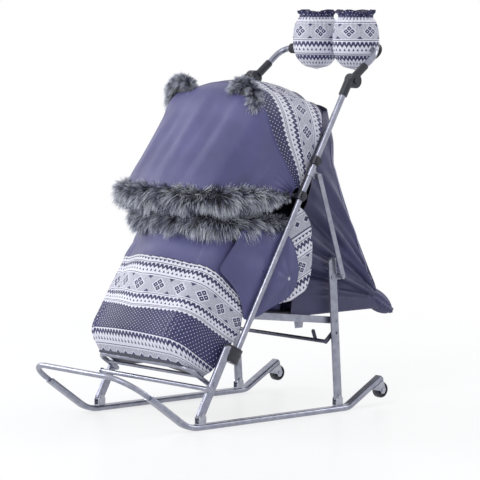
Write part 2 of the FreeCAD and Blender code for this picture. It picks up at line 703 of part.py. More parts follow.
def knuckle_base():
    x0 = DRUM_X + DRUM_GAP / 2.0
    x1 = x0 + DRUM_HALF_T
    drum = pin(x0, x1, K[0], K[1], DRUM_R)
    start = on_handle(HANDLE_LENGTH - 22.0)
    end = on_handle(HANDLE_LENGTH + SOCKET_OVERLAP - DRUM_R - 4.0)
    socket = Part.makeCylinder(SOCKET_R, (end - start).Length, start, handle_dir)
    clip = Part.makeBox(200.0, 400.0, 400.0, V(x0 - 200.0, K[1] - 200.0, 0))
    cutter = pin(x0 - 40.0, x0, K[0], K[1], DRUM_R + 1.0)
    bore = Part.makeCylinder(HANDLE_R + SEAT_GAP / 3.0, 40.0 + SEAT_GAP, on_handle(HANDLE_LENGTH - 40.0),
                             handle_dir)
    well = pin(x1 - BUTTON_WELL, x1 + 1.0, K[0], K[1], BUTTON_R + SIDE_CLEAR)
    return fuse([drum, socket]).cut(bore).cut(cutter).cut(well)


def knuckle_head():
    x1 = DRUM_X - DRUM_GAP / 2.0
    x0 = x1 - DRUM_HALF_T
    drum = pin(x0, x1, K[0], K[1], DRUM_R)
    start = V(DRUM_X - DRUM_HALF_T / 2.0 - 1.0, *along(K, BAR_LEAN, DRUM_R - 8.0))
    socket = Part.makeCylinder(SOCKET_R - 1.0, BAR_SOCKET_REACH - DRUM_R + 8.0, start, bar_dir)
    bore = Part.makeCylinder(BAR_R + SEAT_GAP / 3.0, 60.0, start + bar_dir * 24.0, bar_dir)
    cutter = pin(x1, x1 + 40.0, K[0], K[1], DRUM_R + 1.0)
    rivet = pin(x0 - 2.0, x0, K[0], K[1], 7.0)
    return fuse([drum, socket, rivet]).cut(cutter).cut(bore)


both("knuckle_base", knuckle_base())
both("knuckle_head", knuckle_head())

# Knuckle button: sits proud of the outer drum face
button_x = DRUM_X + DRUM_GAP / 2.0 + DRUM_HALF_T
both("knuckle_button", pin(button_x - BUTTON_T + BUTTON_TRAVEL + SEAT_GAP, button_x + BUTTON_TRAVEL,
                           K[0], K[1], BUTTON_R))

# Handle bar: one bent tube between the two knuckles
bar_x = DRUM_X - DRUM_HALF_T / 2.0 - 1.0
bar_start = V(bar_x, *along(K, BAR_LEAN, DRUM_R - 8.0 + 24.0 + SEAT_GAP))
bar_corner = V(bar_x, *along(K, BAR_LEAN, BAR_REACH))
bar_points = [bar_start, bar_corner, flip(bar_corner), flip(bar_start)]
solids["handle_bar"] = round_tube(bar_points, [BAR_CORNER_R] * 2, BAR_R)

# Foam grips on the outer stretches of the cross part
grip = pin(bar_x - GRIP_END - GRIP_LENGTH, bar_x - GRIP_END, bar_corner.y, bar_corner.z, GRIP_R)
both("grip", grip.cut(pin(0.0, bar_x, bar_corner.y, bar_corner.z, BAR_R + SEAT_GAP / 3.0)))


# Mitten: a stuffed bag that swells in the middle and is gathered at its rim
def mitten(x):
    sections = []
    base = bar_corner.z + MITTEN_RISE - MITTEN_H / 2.0
    for t, w, d in ((0.0, 0.40, 0.42), (0.12, 0.80, 0.82), (0.40, 1.0, 1.0), (0.70, 0.95, 0.95),
                    (0.90, 0.78, 0.76), (1.0, 0.46, 0.46)):
        sections.append(oval_ring(x, bar_corner.y, base + t * MITTEN_H, MITTEN_W * w / 2.0,
                                  MITTEN_D * d / 2.0))
    body = Part.makeLoft(sections, True, False)
    grip_reach = bar_x - GRIP_END + SEAT_GAP
    tunnel = pin(-grip_reach, grip_reach, bar_corner.y, bar_corner.z, GRIP_R + SEAT_GAP)
    return body.cut(tunnel).cut(round_tube(bar_points, [BAR_CORNER_R] * 2, BAR_R + SEAT_GAP))


def oval_ring(x, y, z, a, b):
    edges = []
    k = math.sqrt(0.5)
    points = [V(x + a, y, z), V(x + a * k, y + b * k, z), V(x, y + b, z), V(x - a * k, y + b * k, z),
              V(x - a, y, z), V(x - a * k, y - b * k, z), V(x, y - b, z), V(x + a * k, y - b * k, z)]
    for i in range(0, 8, 2):
        edges.append(Part.Arc(points[i], points[i + 1], points[(i + 2) % 8]).toShape())
    return Part.Wire(edges)


solids["mitten_left"] = mitten(MITTEN_LEFT_X)
solids["mitten_right"] = mitten(MITTEN_RIGHT_X)
# Transport wheel and its plate bracket under the runner tail
wheel = pin(RUNNER_X - WHEEL_T / 2.0, RUNNER_X + WHEEL_T / 2.0, W[0], W[1], WHEEL_R)
wheel = wheel.makeFillet(3.5, [e for e in wheel.Edges if abs(e.Length - 2 * math.pi * WHEEL_R) < 1e-3])
for side in (-1, 1):
    face = RUNNER_X + side * WHEEL_T / 2.0
    dish = pin(face - side * 3.0, face + side, W[0], W[1], WHEEL_R - 5.0)
    dish = dish.cut(pin(face - side * 4.0, face + side * 2.0, W[0], W[1], WHEEL_HUB_R))
    wheel = wheel.cut(dish)
both("wheel", wheel.cut(pin(0.0, 400.0, W[0], W[1], WHEEL_AXLE_R + PIN_CLEAR)))


def wheel_bracket():
    b = math.radians(REAR_RISE)
    tail = runner_points(RUNNER_X)[3]
    under = V(0, math.sin(b), -math.cos(b)) * (RUNNER_T / 2.0)
    back = V(0, -math.cos(b), -math.sin(b))
    p1 = tail + under
    p2 = tail + under + back * 44.0
    inner = WHEEL_T / 2.0 + 1.0
    outer = inner + PLATE_T
    drop = V(0, math.sin(b), -math.cos(b)) * PLATE_T
    shapes = [slab([(p1.y, p1.z), (p2.y, p2.z), ((p2 + drop).y, (p2 + drop).z),
                    ((p1 + drop).y, (p1 + drop).z)], RUNNER_X - outer, RUNNER_X + outer)]
    for side in (-1, 1):
        x0 = RUNNER_X + side * inner
        x1 = RUNNER_X + side * outer
        half = WHEEL_PLATE_W / 2.0
        shapes.append(slab([(p1.y, p1.z), (p2.y, p2.z), (W[0] - half, W[1] - 2.0),
                            (W[0] - half * 0.5, W[1] - half), (W[0] + half * 0.5, W[1] - half),
                            (W[0] + half, W[1])], x0, x1))
        shapes.append(pin(x1, x1 + side * RIVET_HEAD_T, W[0], W[1], RIVET_HEAD_R))
    frame = fuse(shapes).cut(pin(RUNNER_X - inner, RUNNER_X + inner, W[0], W[1], WHEEL_R + 1.0))
    return fuse([frame, pin(RUNNER_X - outer, RUNNER_X + outer, W[0], W[1], WHEEL_AXLE_R)])


both("wheel_bracket", wheel_bracket())


# Hood section: an arch in the plane through the lower collars at one bow angle
def arch(angle, reach, half_w, corner, crown, base):
    c = math.cos(math.radians(angle))
    s = math.sin(math.radians(angle))

    def at(x, rho):
        return V(x, B[0] + rho * c, B[1] + rho * s)

    k = corner * (1.0 - math.sqrt(0.5))
    side = reach - crown
    points = [at(half_w, base), at(half_w, side - corner), at(half_w - k, side - k),
              at(half_w - corner, side), at(0, reach), at(-half_w + corner, side),
              at(-half_w + k, side - k), at(-half_w, side - corner), at(-half_w, base)]
    edges = [
        Part.LineSegment(points[0], points[1]).toShape(),
        Part.Arc(points[1], points[2], points[3]).toShape(),
        Part.Arc(points[3], points[4], points[5]).toShape(),
        Part.Arc(points[5], points[6], points[7]).toShape(),
        Part.LineSegment(points[7], points[8]).toShape(),
        Part.LineSegment(points[8], points[0]).toShape(),
    ]
    return Part.Wire(edges)


# Each bow as (angle, reach from the pivot, corner radius, crown)
HOOD_BOWS = ((HOOD_FRONT_ANGLE, 324.0, 102.0, 12.0), (158.0, 286.0, 84.0, 16.0), (133.0, 268.0, 74.0, 20.0),
             (111.0, 304.0, 84.0, 24.0), (93.0, 298.0, 98.0, 28.0), (78.0, 292.0, 104.0, 28.0),
             (61.5, 290.0, 104.0, 28.0))


def bow_at(angle):
    for first, second in zip(HOOD_BOWS, HOOD_BOWS[1:]):
        if second[0] <= angle <= first[0]:
            t = (first[0] - angle) / (first[0] - second[0])
            return tuple(a + (b - a) * t for a, b in zip(first, second))
    return HOOD_BOWS[0] if angle > HOOD_BOWS[0][0] else HOOD_BOWS[-1]


def hood_shell(angles, front_open, rear_open):
    outer = []
    inner = []
    for angle in angles:
        bow = bow_at(angle)
        outer.append(arch(angle, bow[1], HOOD_HALF_W, bow[2], bow[3], HOOD_BASE))
        inner.append(arch(angle, bow[1] - CLOTH_T, HOOD_HALF_W - CLOTH_T, bow[2] - CLOTH_T, bow[3],
                          HOOD_BASE - 20.0))
    first = bow_at(angles[0])
    last = bow_at(angles[-1])
    inner.insert(0, arch(angles[0] + 3.0, first[1] - CLOTH_T, HOOD_HALF_W - CLOTH_T,
                         first[2] - CLOTH_T, first[3], HOOD_BASE - 20.0))
    inner.append(arch(angles[-1] - 3.0, last[1] - CLOTH_T, HOOD_HALF_W - CLOTH_T,
                      last[2] - CLOTH_T, last[3], HOOD_BASE - 20.0))
    shell = Part.makeLoft(outer, True, True)
    return shell.cut(Part.makeLoft(inner, True, True))


front_angles = [bow[0] for bow in HOOD_BOWS[:5]]
rear_angles = [HOOD_BOWS[4][0] - HOOD_GAP_ANGLE] + [bow[0] for bow in HOOD_BOWS[5:]]
solids["hood_front"] = hood_shell(front_angles, True, True)
solids["hood_rear"] = hood_shell(rear_angles, True, True)


# Sweep along a bow, inside or outside the cloth
def bow_path(angle, reach, half_w, corner, crown, base):
    wire = arch(angle, reach, half_w, corner, crown, base)
    edges = wire.Edges[:5]
    return Part.Wire(edges)


def bow_points(angle, reach, half_w, base):
    c = math.cos(math.radians(angle))
    s = math.sin(math.radians(angle))
    rows = [(half_w, base), (half_w, reach), (-half_w, reach), (-half_w, base)]
    return [V(x, B[0] + rho * c, B[1] + rho * s) for x, rho in rows]


front_bow = HOOD_BOWS[0]
bow_in = CLOTH_T + BOW_TUBE_R + SEAT_GAP
solids["hood_bow"] = fuse([
    round_tube(bow_points(HOOD_FRONT_ANGLE - 4.0, front_bow[1] - front_bow[3] - bow_in - 14.0,
                          HOOD_HALF_W - bow_in, 0.0), [front_bow[2] - bow_in] * 2, BOW_TUBE_R),
    pin(HOOD_HALF_W - bow_in - BOW_EYE_R, HANDLE_X - COLLAR_R - SEAT_GAP, B[0], B[1], BOW_EYE_R),
    pin(-HOOD_HALF_W + bow_in + BOW_EYE_R, -HANDLE_X + COLLAR_R + SEAT_GAP, B[0], B[1], BOW_EYE_R)])
solids["hood_fur"] = round_tube(
    bow_points(HOOD_FRONT_ANGLE + 3.2, front_bow[1] - front_bow[3] / 2.0, HOOD_HALF_W - 2.0, HOOD_BASE),
    [front_bow[2]] * 2, FUR_R)
fur_room = round_tube(
    bow_points(HOOD_FRONT_ANGLE + 3.2, front_bow[1] - front_bow[3] / 2.0, HOOD_HALF_W - 2.0,
               HOOD_BASE - 1.0), [front_bow[2]] * 2, FUR_R + SEAT_GAP)
solids["hood_front"] = solids["hood_front"].cut(fur_room)
bow_room = round_tube(
    bow_points(HOOD_FRONT_ANGLE - 4.0, front_bow[1] - front_bow[3] - bow_in - 14.0, HOOD_HALF_W - bow_in,
               0.0), [front_bow[2] - bow_in] * 2, BOW_TUBE_R + SEAT_GAP)
solids["hood_fur"] = solids["hood_fur"].cut(bow_room)


# Ear: a thick half disc that stands on the hood's front slope
def make_ear():
    bow = bow_at(EAR_ANGLE)
    c = math.cos(math.radians(EAR_ANGLE))
    s = math.sin(math.radians(EAR_ANGLE))
    rho = bow[1] + EAR_RISE
    centre = V(EAR_X, B[0] + rho * c, B[1] + rho * s)
    disc = Part.makeCylinder(EAR_R, EAR_T, centre - V(0, EAR_T / 2.0, 0), V(0, 1, 0))
    disc = disc.makeFillet(8.0, [e for e in disc.Edges if abs(e.Length - 2 * math.pi * EAR_R) < 1e-3])
    return disc


ear_solid = make_ear()
hood_block = Part.makeLoft([arch(a, bow_at(a)[1] + SEAT_GAP, HOOD_HALF_W + SEAT_GAP, bow_at(a)[2],
                                 bow_at(a)[3], HOOD_BASE)
                            for a in [bow[0] for bow in HOOD_BOWS[1:5]]], True, True)
ear_solid = ear_solid.cut(hood_block)
both("ear", ear_solid)


# Run of hanging cloth from one point to another, in folds that swell out and in by turns
def folded_run(start, end, folds, depth):
    step = (end - start) / folds
    out = V(step.y, -step.x, 0)
    out.normalize()
    edges = []
    for i in range(folds):
        first = start + step * i
        last = start + step * (i + 1)
        middle = (first + last) / 2.0 + out * (depth if i % 2 == 0 else -depth)
        edges.append(Part.Arc(first, middle, last).toShape())
    return edges


# Rear tent section: a level U that is closed at the back with round corners
def tent_ring(z, front, back, half_w, corner, fold, mouth=0.0):
    k = corner * (1.0 - math.sqrt(0.5))
    start = V(half_w, front, z)
    points = [V(half_w, back - corner, z), V(half_w - k, back - k, z), V(half_w - corner, back, z)]
    edges = [Part.LineSegment(V(half_w, front - mouth, z), start).toShape()] if mouth else []
    edges += folded_run(start, points[0], SIDE_FOLDS, fold)
    edges.append(Part.Arc(points[0], points[1], points[2]).toShape())
    edges += folded_run(points[2], flip(points[2]), REAR_FOLDS, fold)
    edges.append(Part.Arc(flip(points[2]), flip(points[1]), flip(points[0])).toShape())
    edges += folded_run(flip(points[0]), flip(start), SIDE_FOLDS, fold)
    if mouth:
        edges.append(Part.LineSegment(flip(start), V(-half_w, front - mouth, z)).toShape())
    edges.append(Part.LineSegment(V(-half_w, front - mouth, z), V(half_w, front - mouth, z)).toShape())
    return Part.Wire(edges)


# Tent rings as (height, front edge, back edge, half width, corner radius, depth of the folds)
TENT_RINGS = ((TENT_FLOOR_Z, TENT_FRONT_Y, TENT_REAR_Y - HEM_FOLD, TENT_HALF_W, 50.0, HEM_FOLD),
              (340.0, TENT_FRONT_Y + 10.0, TENT_REAR_Y - 44.0, TENT_HALF_W, 50.0, 2.0),
              (490.0, 372.0, TENT_REAR_Y - 114.0, TENT_HALF_W, 50.0, 5.0),
              (640.0, 410.0, TENT_REAR_Y - 174.0, TENT_HALF_W, 46.0, 2.5),
              (727.0, 446.0, 492.0, TENT_HALF_W - 2.0, 34.0, 0.6),
              (792.0, 472.0, 492.0, TENT_HALF_W - 42.0, 14.0, 0.2))


def tent_inside(z, front, back, half_w, corner, fold):
    return tent_ring(z, front, back - CLOTH_T, half_w - CLOTH_T, corner - CLOTH_T, fold, 30.0)


def rear_tent():
    outer = [tent_ring(*ring) for ring in TENT_RINGS]
    low = TENT_RINGS[0]
    high = TENT_RINGS[-1]
    inner = [tent_inside(low[0] - 10.0, *low[1:])]
    inner += [tent_inside(*ring) for ring in TENT_RINGS]
    inner.append(tent_inside(high[0] + 10.0, high[1], high[2] - 4.0, high[3] - 4.0, high[4], high[5]))
    return Part.makeLoft(outer, True, True).cut(Part.makeLoft(inner, True, True))


solids["rear_tent"] = rear_tent()

# Muff rings as (back y, back z, front y, front z, half width, front crown, front corner)
MUFF_RINGS = ((50.0, 126.0, -34.0, 177.0, 168.0, 6.0, 30.0),
              (66.0, 140.0, -52.0, 220.0, 182.0, 10.0, 44.0),
              (106.0, 190.0, -22.0, 292.0, MUFF_HALF_W, 20.0, 58.0),
              (134.0, 258.0, 24.0, 368.0, MUFF_HALF_W, 34.0, 60.0),
              (138.0, 340.0, 72.0, 432.0, MUFF_HALF_W, 36.0, 56.0),
              (138.0, 424.0, 98.0, 492.0, MUFF_HALF_W, 36.0, 40.0))


def muff_ring(y0, z0, y1, z1, half_w, crown, corner, inset=0.0, back=0.0, lift=0.0):
    out = V(0, y1 - y0, z1 - z0)
    depth = out.Length - inset
    out.normalize()
    w = half_w - inset
    b = inset - back
    r = corner - inset
    k = r * (1.0 - math.sqrt(0.5))
    f = depth

    def at(x, d):
        return V(x, y0, z0 + lift) + out * d

    points = [at(w, b), at(w, f - r), at(w - k, f - k), at(w - r, f), at(0, f + crown),
              at(-w + r, f), at(-w + k, f - k), at(-w, f - r), at(-w, b)]
    edges = [
        Part.LineSegment(points[0], points[1]).toShape(),
        Part.Arc(points[1], points[2], points[3]).toShape(),
        Part.Arc(points[3], points[4], points[5]).toShape(),
        Part.Arc(points[5], points[6], points[7]).toShape(),
        Part.LineSegment(points[7], points[8]).toShape(),
        Part.LineSegment(points[8], points[0]).toShape(),
    ]
    return Part.Wire(edges)


def foot_muff():
    outer = Part.makeLoft([muff_ring(*ring) for ring in MUFF_RINGS], True, True)
    rings = [muff_ring(*MUFF_RINGS[0], inset=MUFF_WALL, lift=MUFF_WALL)]
    rings += [muff_ring(*ring, inset=MUFF_WALL) for ring in MUFF_RINGS[1:3]]
    rings += [muff_ring(*ring, inset=MUFF_WALL, back=MUFF_WALL * 3.0) for ring in MUFF_RINGS[3:]]
    rings.append(muff_ring(*MUFF_RINGS[-1], inset=MUFF_WALL, back=MUFF_WALL * 3.0, lift=12.0))
    return outer.cut(Part.makeLoft(rings, True, True))


# Fur roll along the top edge of the muff
fur_rise = MUFF_FUR_R + SEAT_GAP
fur_half = MUFF_HALF_W - MUFF_FUR_R / 2.0
fur_back = V(fur_half, MUFF_FUR_BACK_Y, MUFF_FUR_BACK_Z)
fur_front = V(fur_half, MUFF_RINGS[-1][2] - MUFF_RINGS[-1][5] / 2.0, MUFF_RINGS[-1][3] + fur_rise + 6.0)
solids["muff_fur"] = round_tube([fur_back, fur_front, flip(fur_front), flip(fur_back)],
                                [84.0] * 2, MUFF_FUR_R)
fur_room = round_tube([fur_back + V(0, 1, 0), fur_front, flip(fur_front), flip(fur_back + V(0, 1, 0))],
                      [84.0] * 2, MUFF_FUR_R + SEAT_GAP)
solids["foot_muff"] = foot_muff().cut(fur_room)

# Side flap: the cloth side between the muff, the lower collar and the seat
flap_outline = ((146.0, 238.0), (252.0, 260.0), (318.0, 272.0), (358.0, 306.0), (378.0, 360.0),
                (380.0, 410.0), (364.0, 462.0), (328.0, 520.0), (296.0, 500.0), (250.0, 452.0),
                (222.0, 436.0), (138.4, 430.0), (138.4, 262.0))
flap = slab(list(flap_outline), FLAP_X - FLAP_T, FLAP_X)
flap = flap.cut(pin(0.0, 2.0 * FLAP_X, P[0], P[1], 7.0 + 2.0 * SEAT_GAP))
both("side_flap", flap.cut(fur_room))

# Centre the whole stroller over the origin and write one file per piece
boxes = [s.optimalBoundingBox(False, False) for s in solids.values()]
low_x = min(b.XMin for b in boxes)
high_x = max(b.XMax for b in boxes)
low_y = min(b.YMin for b in boxes)
high_y = max(b.YMax for b in boxes)
low_z = min(b.ZMin for b in boxes)
high_z = max(b.ZMax for b in boxes)
shift = V(-(low_x + high_x) / 2.0, -(low_y + high_y) / 2.0, -low_z)

os.makedirs("parts", exist_ok=True)
for name, shape in solids.items():
    moved = shape.copy()
    moved.translate(shift)
    parts = len(moved.Solids)
    print(name, "solids", parts, "valid", moved.isValid(), "volume", round(moved.Volume))
    moved.exportStep("parts/" + name + ".step")

print("shift", [round(v, 4) for v in shift])
for name, (y, z) in (("A", A), ("D", D), ("H", H), ("P", P), ("C", C), ("F", F), ("G", G),
                     ("B", B), ("K", K), ("L", L), ("Q", Q), ("W", W), ("HINGE", HINGE)):
    print("pivot", name, round(y + shift.y, 4), round(z + shift.z, 4))
print("size", high_x - low_x, high_y - low_y, high_z - low_z)
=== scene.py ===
import json
import math
from functools import partialmethod

import bpy
import numpy as np
from mathutils import Matrix, Vector


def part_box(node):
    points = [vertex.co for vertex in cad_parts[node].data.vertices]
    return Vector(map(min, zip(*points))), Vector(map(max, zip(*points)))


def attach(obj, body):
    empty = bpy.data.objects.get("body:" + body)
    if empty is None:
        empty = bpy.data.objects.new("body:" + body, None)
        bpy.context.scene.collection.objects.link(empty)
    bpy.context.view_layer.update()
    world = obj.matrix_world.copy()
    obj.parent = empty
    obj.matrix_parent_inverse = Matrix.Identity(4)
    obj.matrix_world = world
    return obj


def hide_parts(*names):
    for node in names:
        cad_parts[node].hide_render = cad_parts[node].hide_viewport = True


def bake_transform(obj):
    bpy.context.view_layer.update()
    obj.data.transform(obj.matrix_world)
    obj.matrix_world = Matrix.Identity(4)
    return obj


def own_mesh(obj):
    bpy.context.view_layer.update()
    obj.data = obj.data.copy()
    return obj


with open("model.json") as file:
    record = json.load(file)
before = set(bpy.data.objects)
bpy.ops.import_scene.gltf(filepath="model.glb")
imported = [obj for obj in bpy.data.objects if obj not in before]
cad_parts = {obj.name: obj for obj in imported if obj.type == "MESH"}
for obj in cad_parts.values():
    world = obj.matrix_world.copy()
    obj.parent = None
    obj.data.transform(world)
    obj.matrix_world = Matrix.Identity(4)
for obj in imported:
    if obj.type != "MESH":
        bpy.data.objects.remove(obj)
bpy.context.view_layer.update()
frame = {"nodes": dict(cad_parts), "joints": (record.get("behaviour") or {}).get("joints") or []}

# Sled stroller: the soft covers and finishes, dressed over the frame.
# Metres, +Z up, the front points along -Y, the child's left side is +X.

MM = 0.001
JOINT = {joint["name"]: Vector(joint["pos_m"]) for joint in frame["joints"] if "pos_m" in joint}

# The drawing counts y from 10 mm ahead of the front foot pivots, z from the ground, both in mm
DATUM_Y = JOINT["front_legs"].y - 10.0 * MM
HOOD_PIVOT = np.array([0.0, (JOINT["hood_fold"].y - DATUM_Y) / MM, JOINT["hood_fold"].z / MM])
HANDLE_LEAN = math.radians(29.4)


# Drawing millimetres to frame metres
def to_frame(points):
    out = np.asarray(points, dtype=float) * MM
    out[..., 1] += DATUM_Y
    return out


# Camera, at the photograph's place
CAMERA_AT = (5099.4, -4017.5, 1052.9)
CAMERA_AZIMUTH = 49.67
CAMERA_ELEVATION = 5.246
CAMERA_ROLL = 0.02
CAMERA_LENS = 194.6


def add_camera():
    a = math.radians(CAMERA_AZIMUTH)
    e = math.radians(CAMERA_ELEVATION)
    back = Vector((math.sin(a) * math.cos(e), -math.cos(a) * math.cos(e), math.sin(e)))
    data = bpy.data.cameras.new("camera")
    data.lens = CAMERA_LENS
    data.sensor_width = 36.0
    camera = bpy.data.objects.new("camera", data)
    bpy.context.collection.objects.link(camera)
    roll = Matrix.Rotation(math.radians(CAMERA_ROLL), 4, "Z")
    turn = back.to_track_quat("Z", "Y").to_matrix().to_4x4() @ roll
    camera.matrix_world = Matrix.Translation(Vector(to_frame(CAMERA_AT))) @ turn
    bpy.context.scene.camera = camera


add_camera()


# One material's node tree, with short calls for the nodes that it needs
class Graph:
    def __init__(self, name):
        self.material = bpy.data.materials.new(name)
        self.material.use_nodes = True
        self.tree = self.material.node_tree
        self.shader = self.tree.nodes["Principled BSDF"]

    def node(self, kind, **settings):
        made = self.tree.nodes.new("ShaderNode" + kind)
        for key, value in settings.items():
            setattr(made, key, value)
        return made

    def put(self, socket, value):
        if isinstance(value, bpy.types.NodeSocket):
            self.tree.links.new(value, socket)
        else:
            socket.default_value = value

    # A colour from another node, or as three numbers
    def put_colour(self, socket, value):
        self.put(socket, value if isinstance(value, bpy.types.NodeSocket) else (*value, 1.0))

    def maths(self, operation, *values):
        made = self.node("Math", operation=operation)
        for socket, value in zip(made.inputs, values):
            self.put(socket, value)
        return made.outputs[0]

    add = partialmethod(maths, "ADD")
    sub = partialmethod(maths, "SUBTRACT")
    mul = partialmethod(maths, "MULTIPLY")
    less = partialmethod(maths, "LESS_THAN")
    more = partialmethod(maths, "GREATER_THAN")
    either = partialmethod(maths, "MAXIMUM")
    both = partialmethod(maths, "MINIMUM")

    def away(self, a, b):
        return self.maths("ABSOLUTE", self.sub(a, b))

    # Triangle wave from 0 up to 1 and back within one period
    def wave(self, a, period):
        return self.mul(self.maths("PINGPONG", a, period / 2.0), 2.0 / period)

    def noise(self, scale, detail=3.0, stretch=None):
        place = self.node("TexCoord").outputs["Object"]
        if stretch:
            mapping = self.node("Mapping")
            self.put(mapping.inputs["Vector"], place)
            mapping.inputs["Scale"].default_value = stretch
            place = mapping.outputs[0]
        made = self.node("TexNoise")
        self.put(made.inputs["Vector"], place)
        made.inputs["Scale"].default_value = scale
        made.inputs["Detail"].default_value = detail
        return made.outputs["Fac"]

    def ramp(self, value, stops):
        made = self.node("ValToRGB")
        self.put(made.inputs[0], value)
        elements = made.color_ramp.elements
        while len(elements) < len(stops):
            elements.new(0.5)
        for element, (place, colour) in zip(elements, stops):
            element.position = place
            element.color = (*colour, 1.0)
        return made.outputs[0]

    def mix(self, factor, a, b):
        made = self.node("Mix", data_type="RGBA")
        self.put(made.inputs[0], factor)
        self.put_colour(made.inputs[6], a)
        self.put_colour(made.inputs[7], b)
        return made.outputs[2]

    def bump(self, height, strength, distance, below=None):
        made = self.node("Bump")
        made.inputs["Strength"].default_value = strength
        made.inputs["Distance"].default_value = distance
        self.put(made.inputs["Height"], height)
        if below is not None:
            self.put(made.inputs["Normal"], below)
        return made.outputs[0]

    def finish(self, colour, roughness, metallic=0.0, normal=None, **levels):
        self.put_colour(self.shader.inputs["Base Color"], colour)
        self.put(self.shader.inputs["Roughness"], roughness)
        self.shader.inputs["Metallic"].default_value = metallic
        if normal is not None:
            self.put(self.shader.inputs["Normal"], normal)
        for name, value in levels.items():
            self.shader.inputs[name.replace("_", " ").title()].default_value = value
        return self.material

    def uv(self):
        split = self.node("SeparateXYZ")
        self.put(split.inputs[0], self.node("UVMap").outputs[0])
        return split.outputs[0], split.outputs[1]

    # u and v of the surface in millimetres
    def flat_place(self):
        u, v = self.uv()
        return self.mul(u, 1.0 / MM), self.mul(v, 1.0 / MM)


SLATE = (0.085, 0.085, 0.225)
SLATE_DEEP = (0.045, 0.045, 0.135)
NAVY = (0.028, 0.029, 0.115)
NAVY_DEEP = (0.017, 0.018, 0.075)
CHALK = (0.740, 0.745, 0.850)


def woven_bump(graph, u, v, pitch, strength):
    height = graph.mul(graph.maths("SINE", graph.mul(u, 2.0 * math.pi / pitch)),
                       graph.maths("SINE", graph.mul(v, 2.0 * math.pi / pitch)))
    crease = graph.bump(graph.noise(13.0, 3.0, (1.0, 1.0, 0.35)), 0.30, 0.012)
    soft = graph.bump(graph.noise(38.0, 4.0), 0.22, 0.003, crease)
    return graph.bump(height, strength, 0.0003, soft)


def plain_cloth(name, light, deep):
    graph = Graph(name)
    u, v = graph.flat_place()
    colour = graph.ramp(graph.noise(7.0, 5.0), ((0.30, deep), (0.70, light)))
    thread = graph.noise(900.0, 1.0)
    colour = graph.mix(graph.mul(thread, 0.25), colour, tuple(c * 1.35 for c in light))
    roughness = graph.add(graph.mul(graph.noise(60.0), 0.16), 0.42)
    return graph.finish(colour, roughness, normal=woven_bump(graph, u, v, 1.1, 0.25), sheen_weight=0.08,
                        sheen_roughness=0.4)


# Knit chart sizes in mm
TOOTH = 13.2
DIAMOND_PITCH = 66.0
DIAMOND_HALF_W = 21.5
DIAMOND_HALF_H = 19.0
MARK_HALF_W = 9.0
MARK_HALF_H = 8.0
DOT_PITCH = 13.0
DOT_SIZE = 0.017
CHECK_PITCH = 2.4
CHECK_SHARE = 0.62
STRIPE = 1.8
CHART_HEIGHT = 330.0


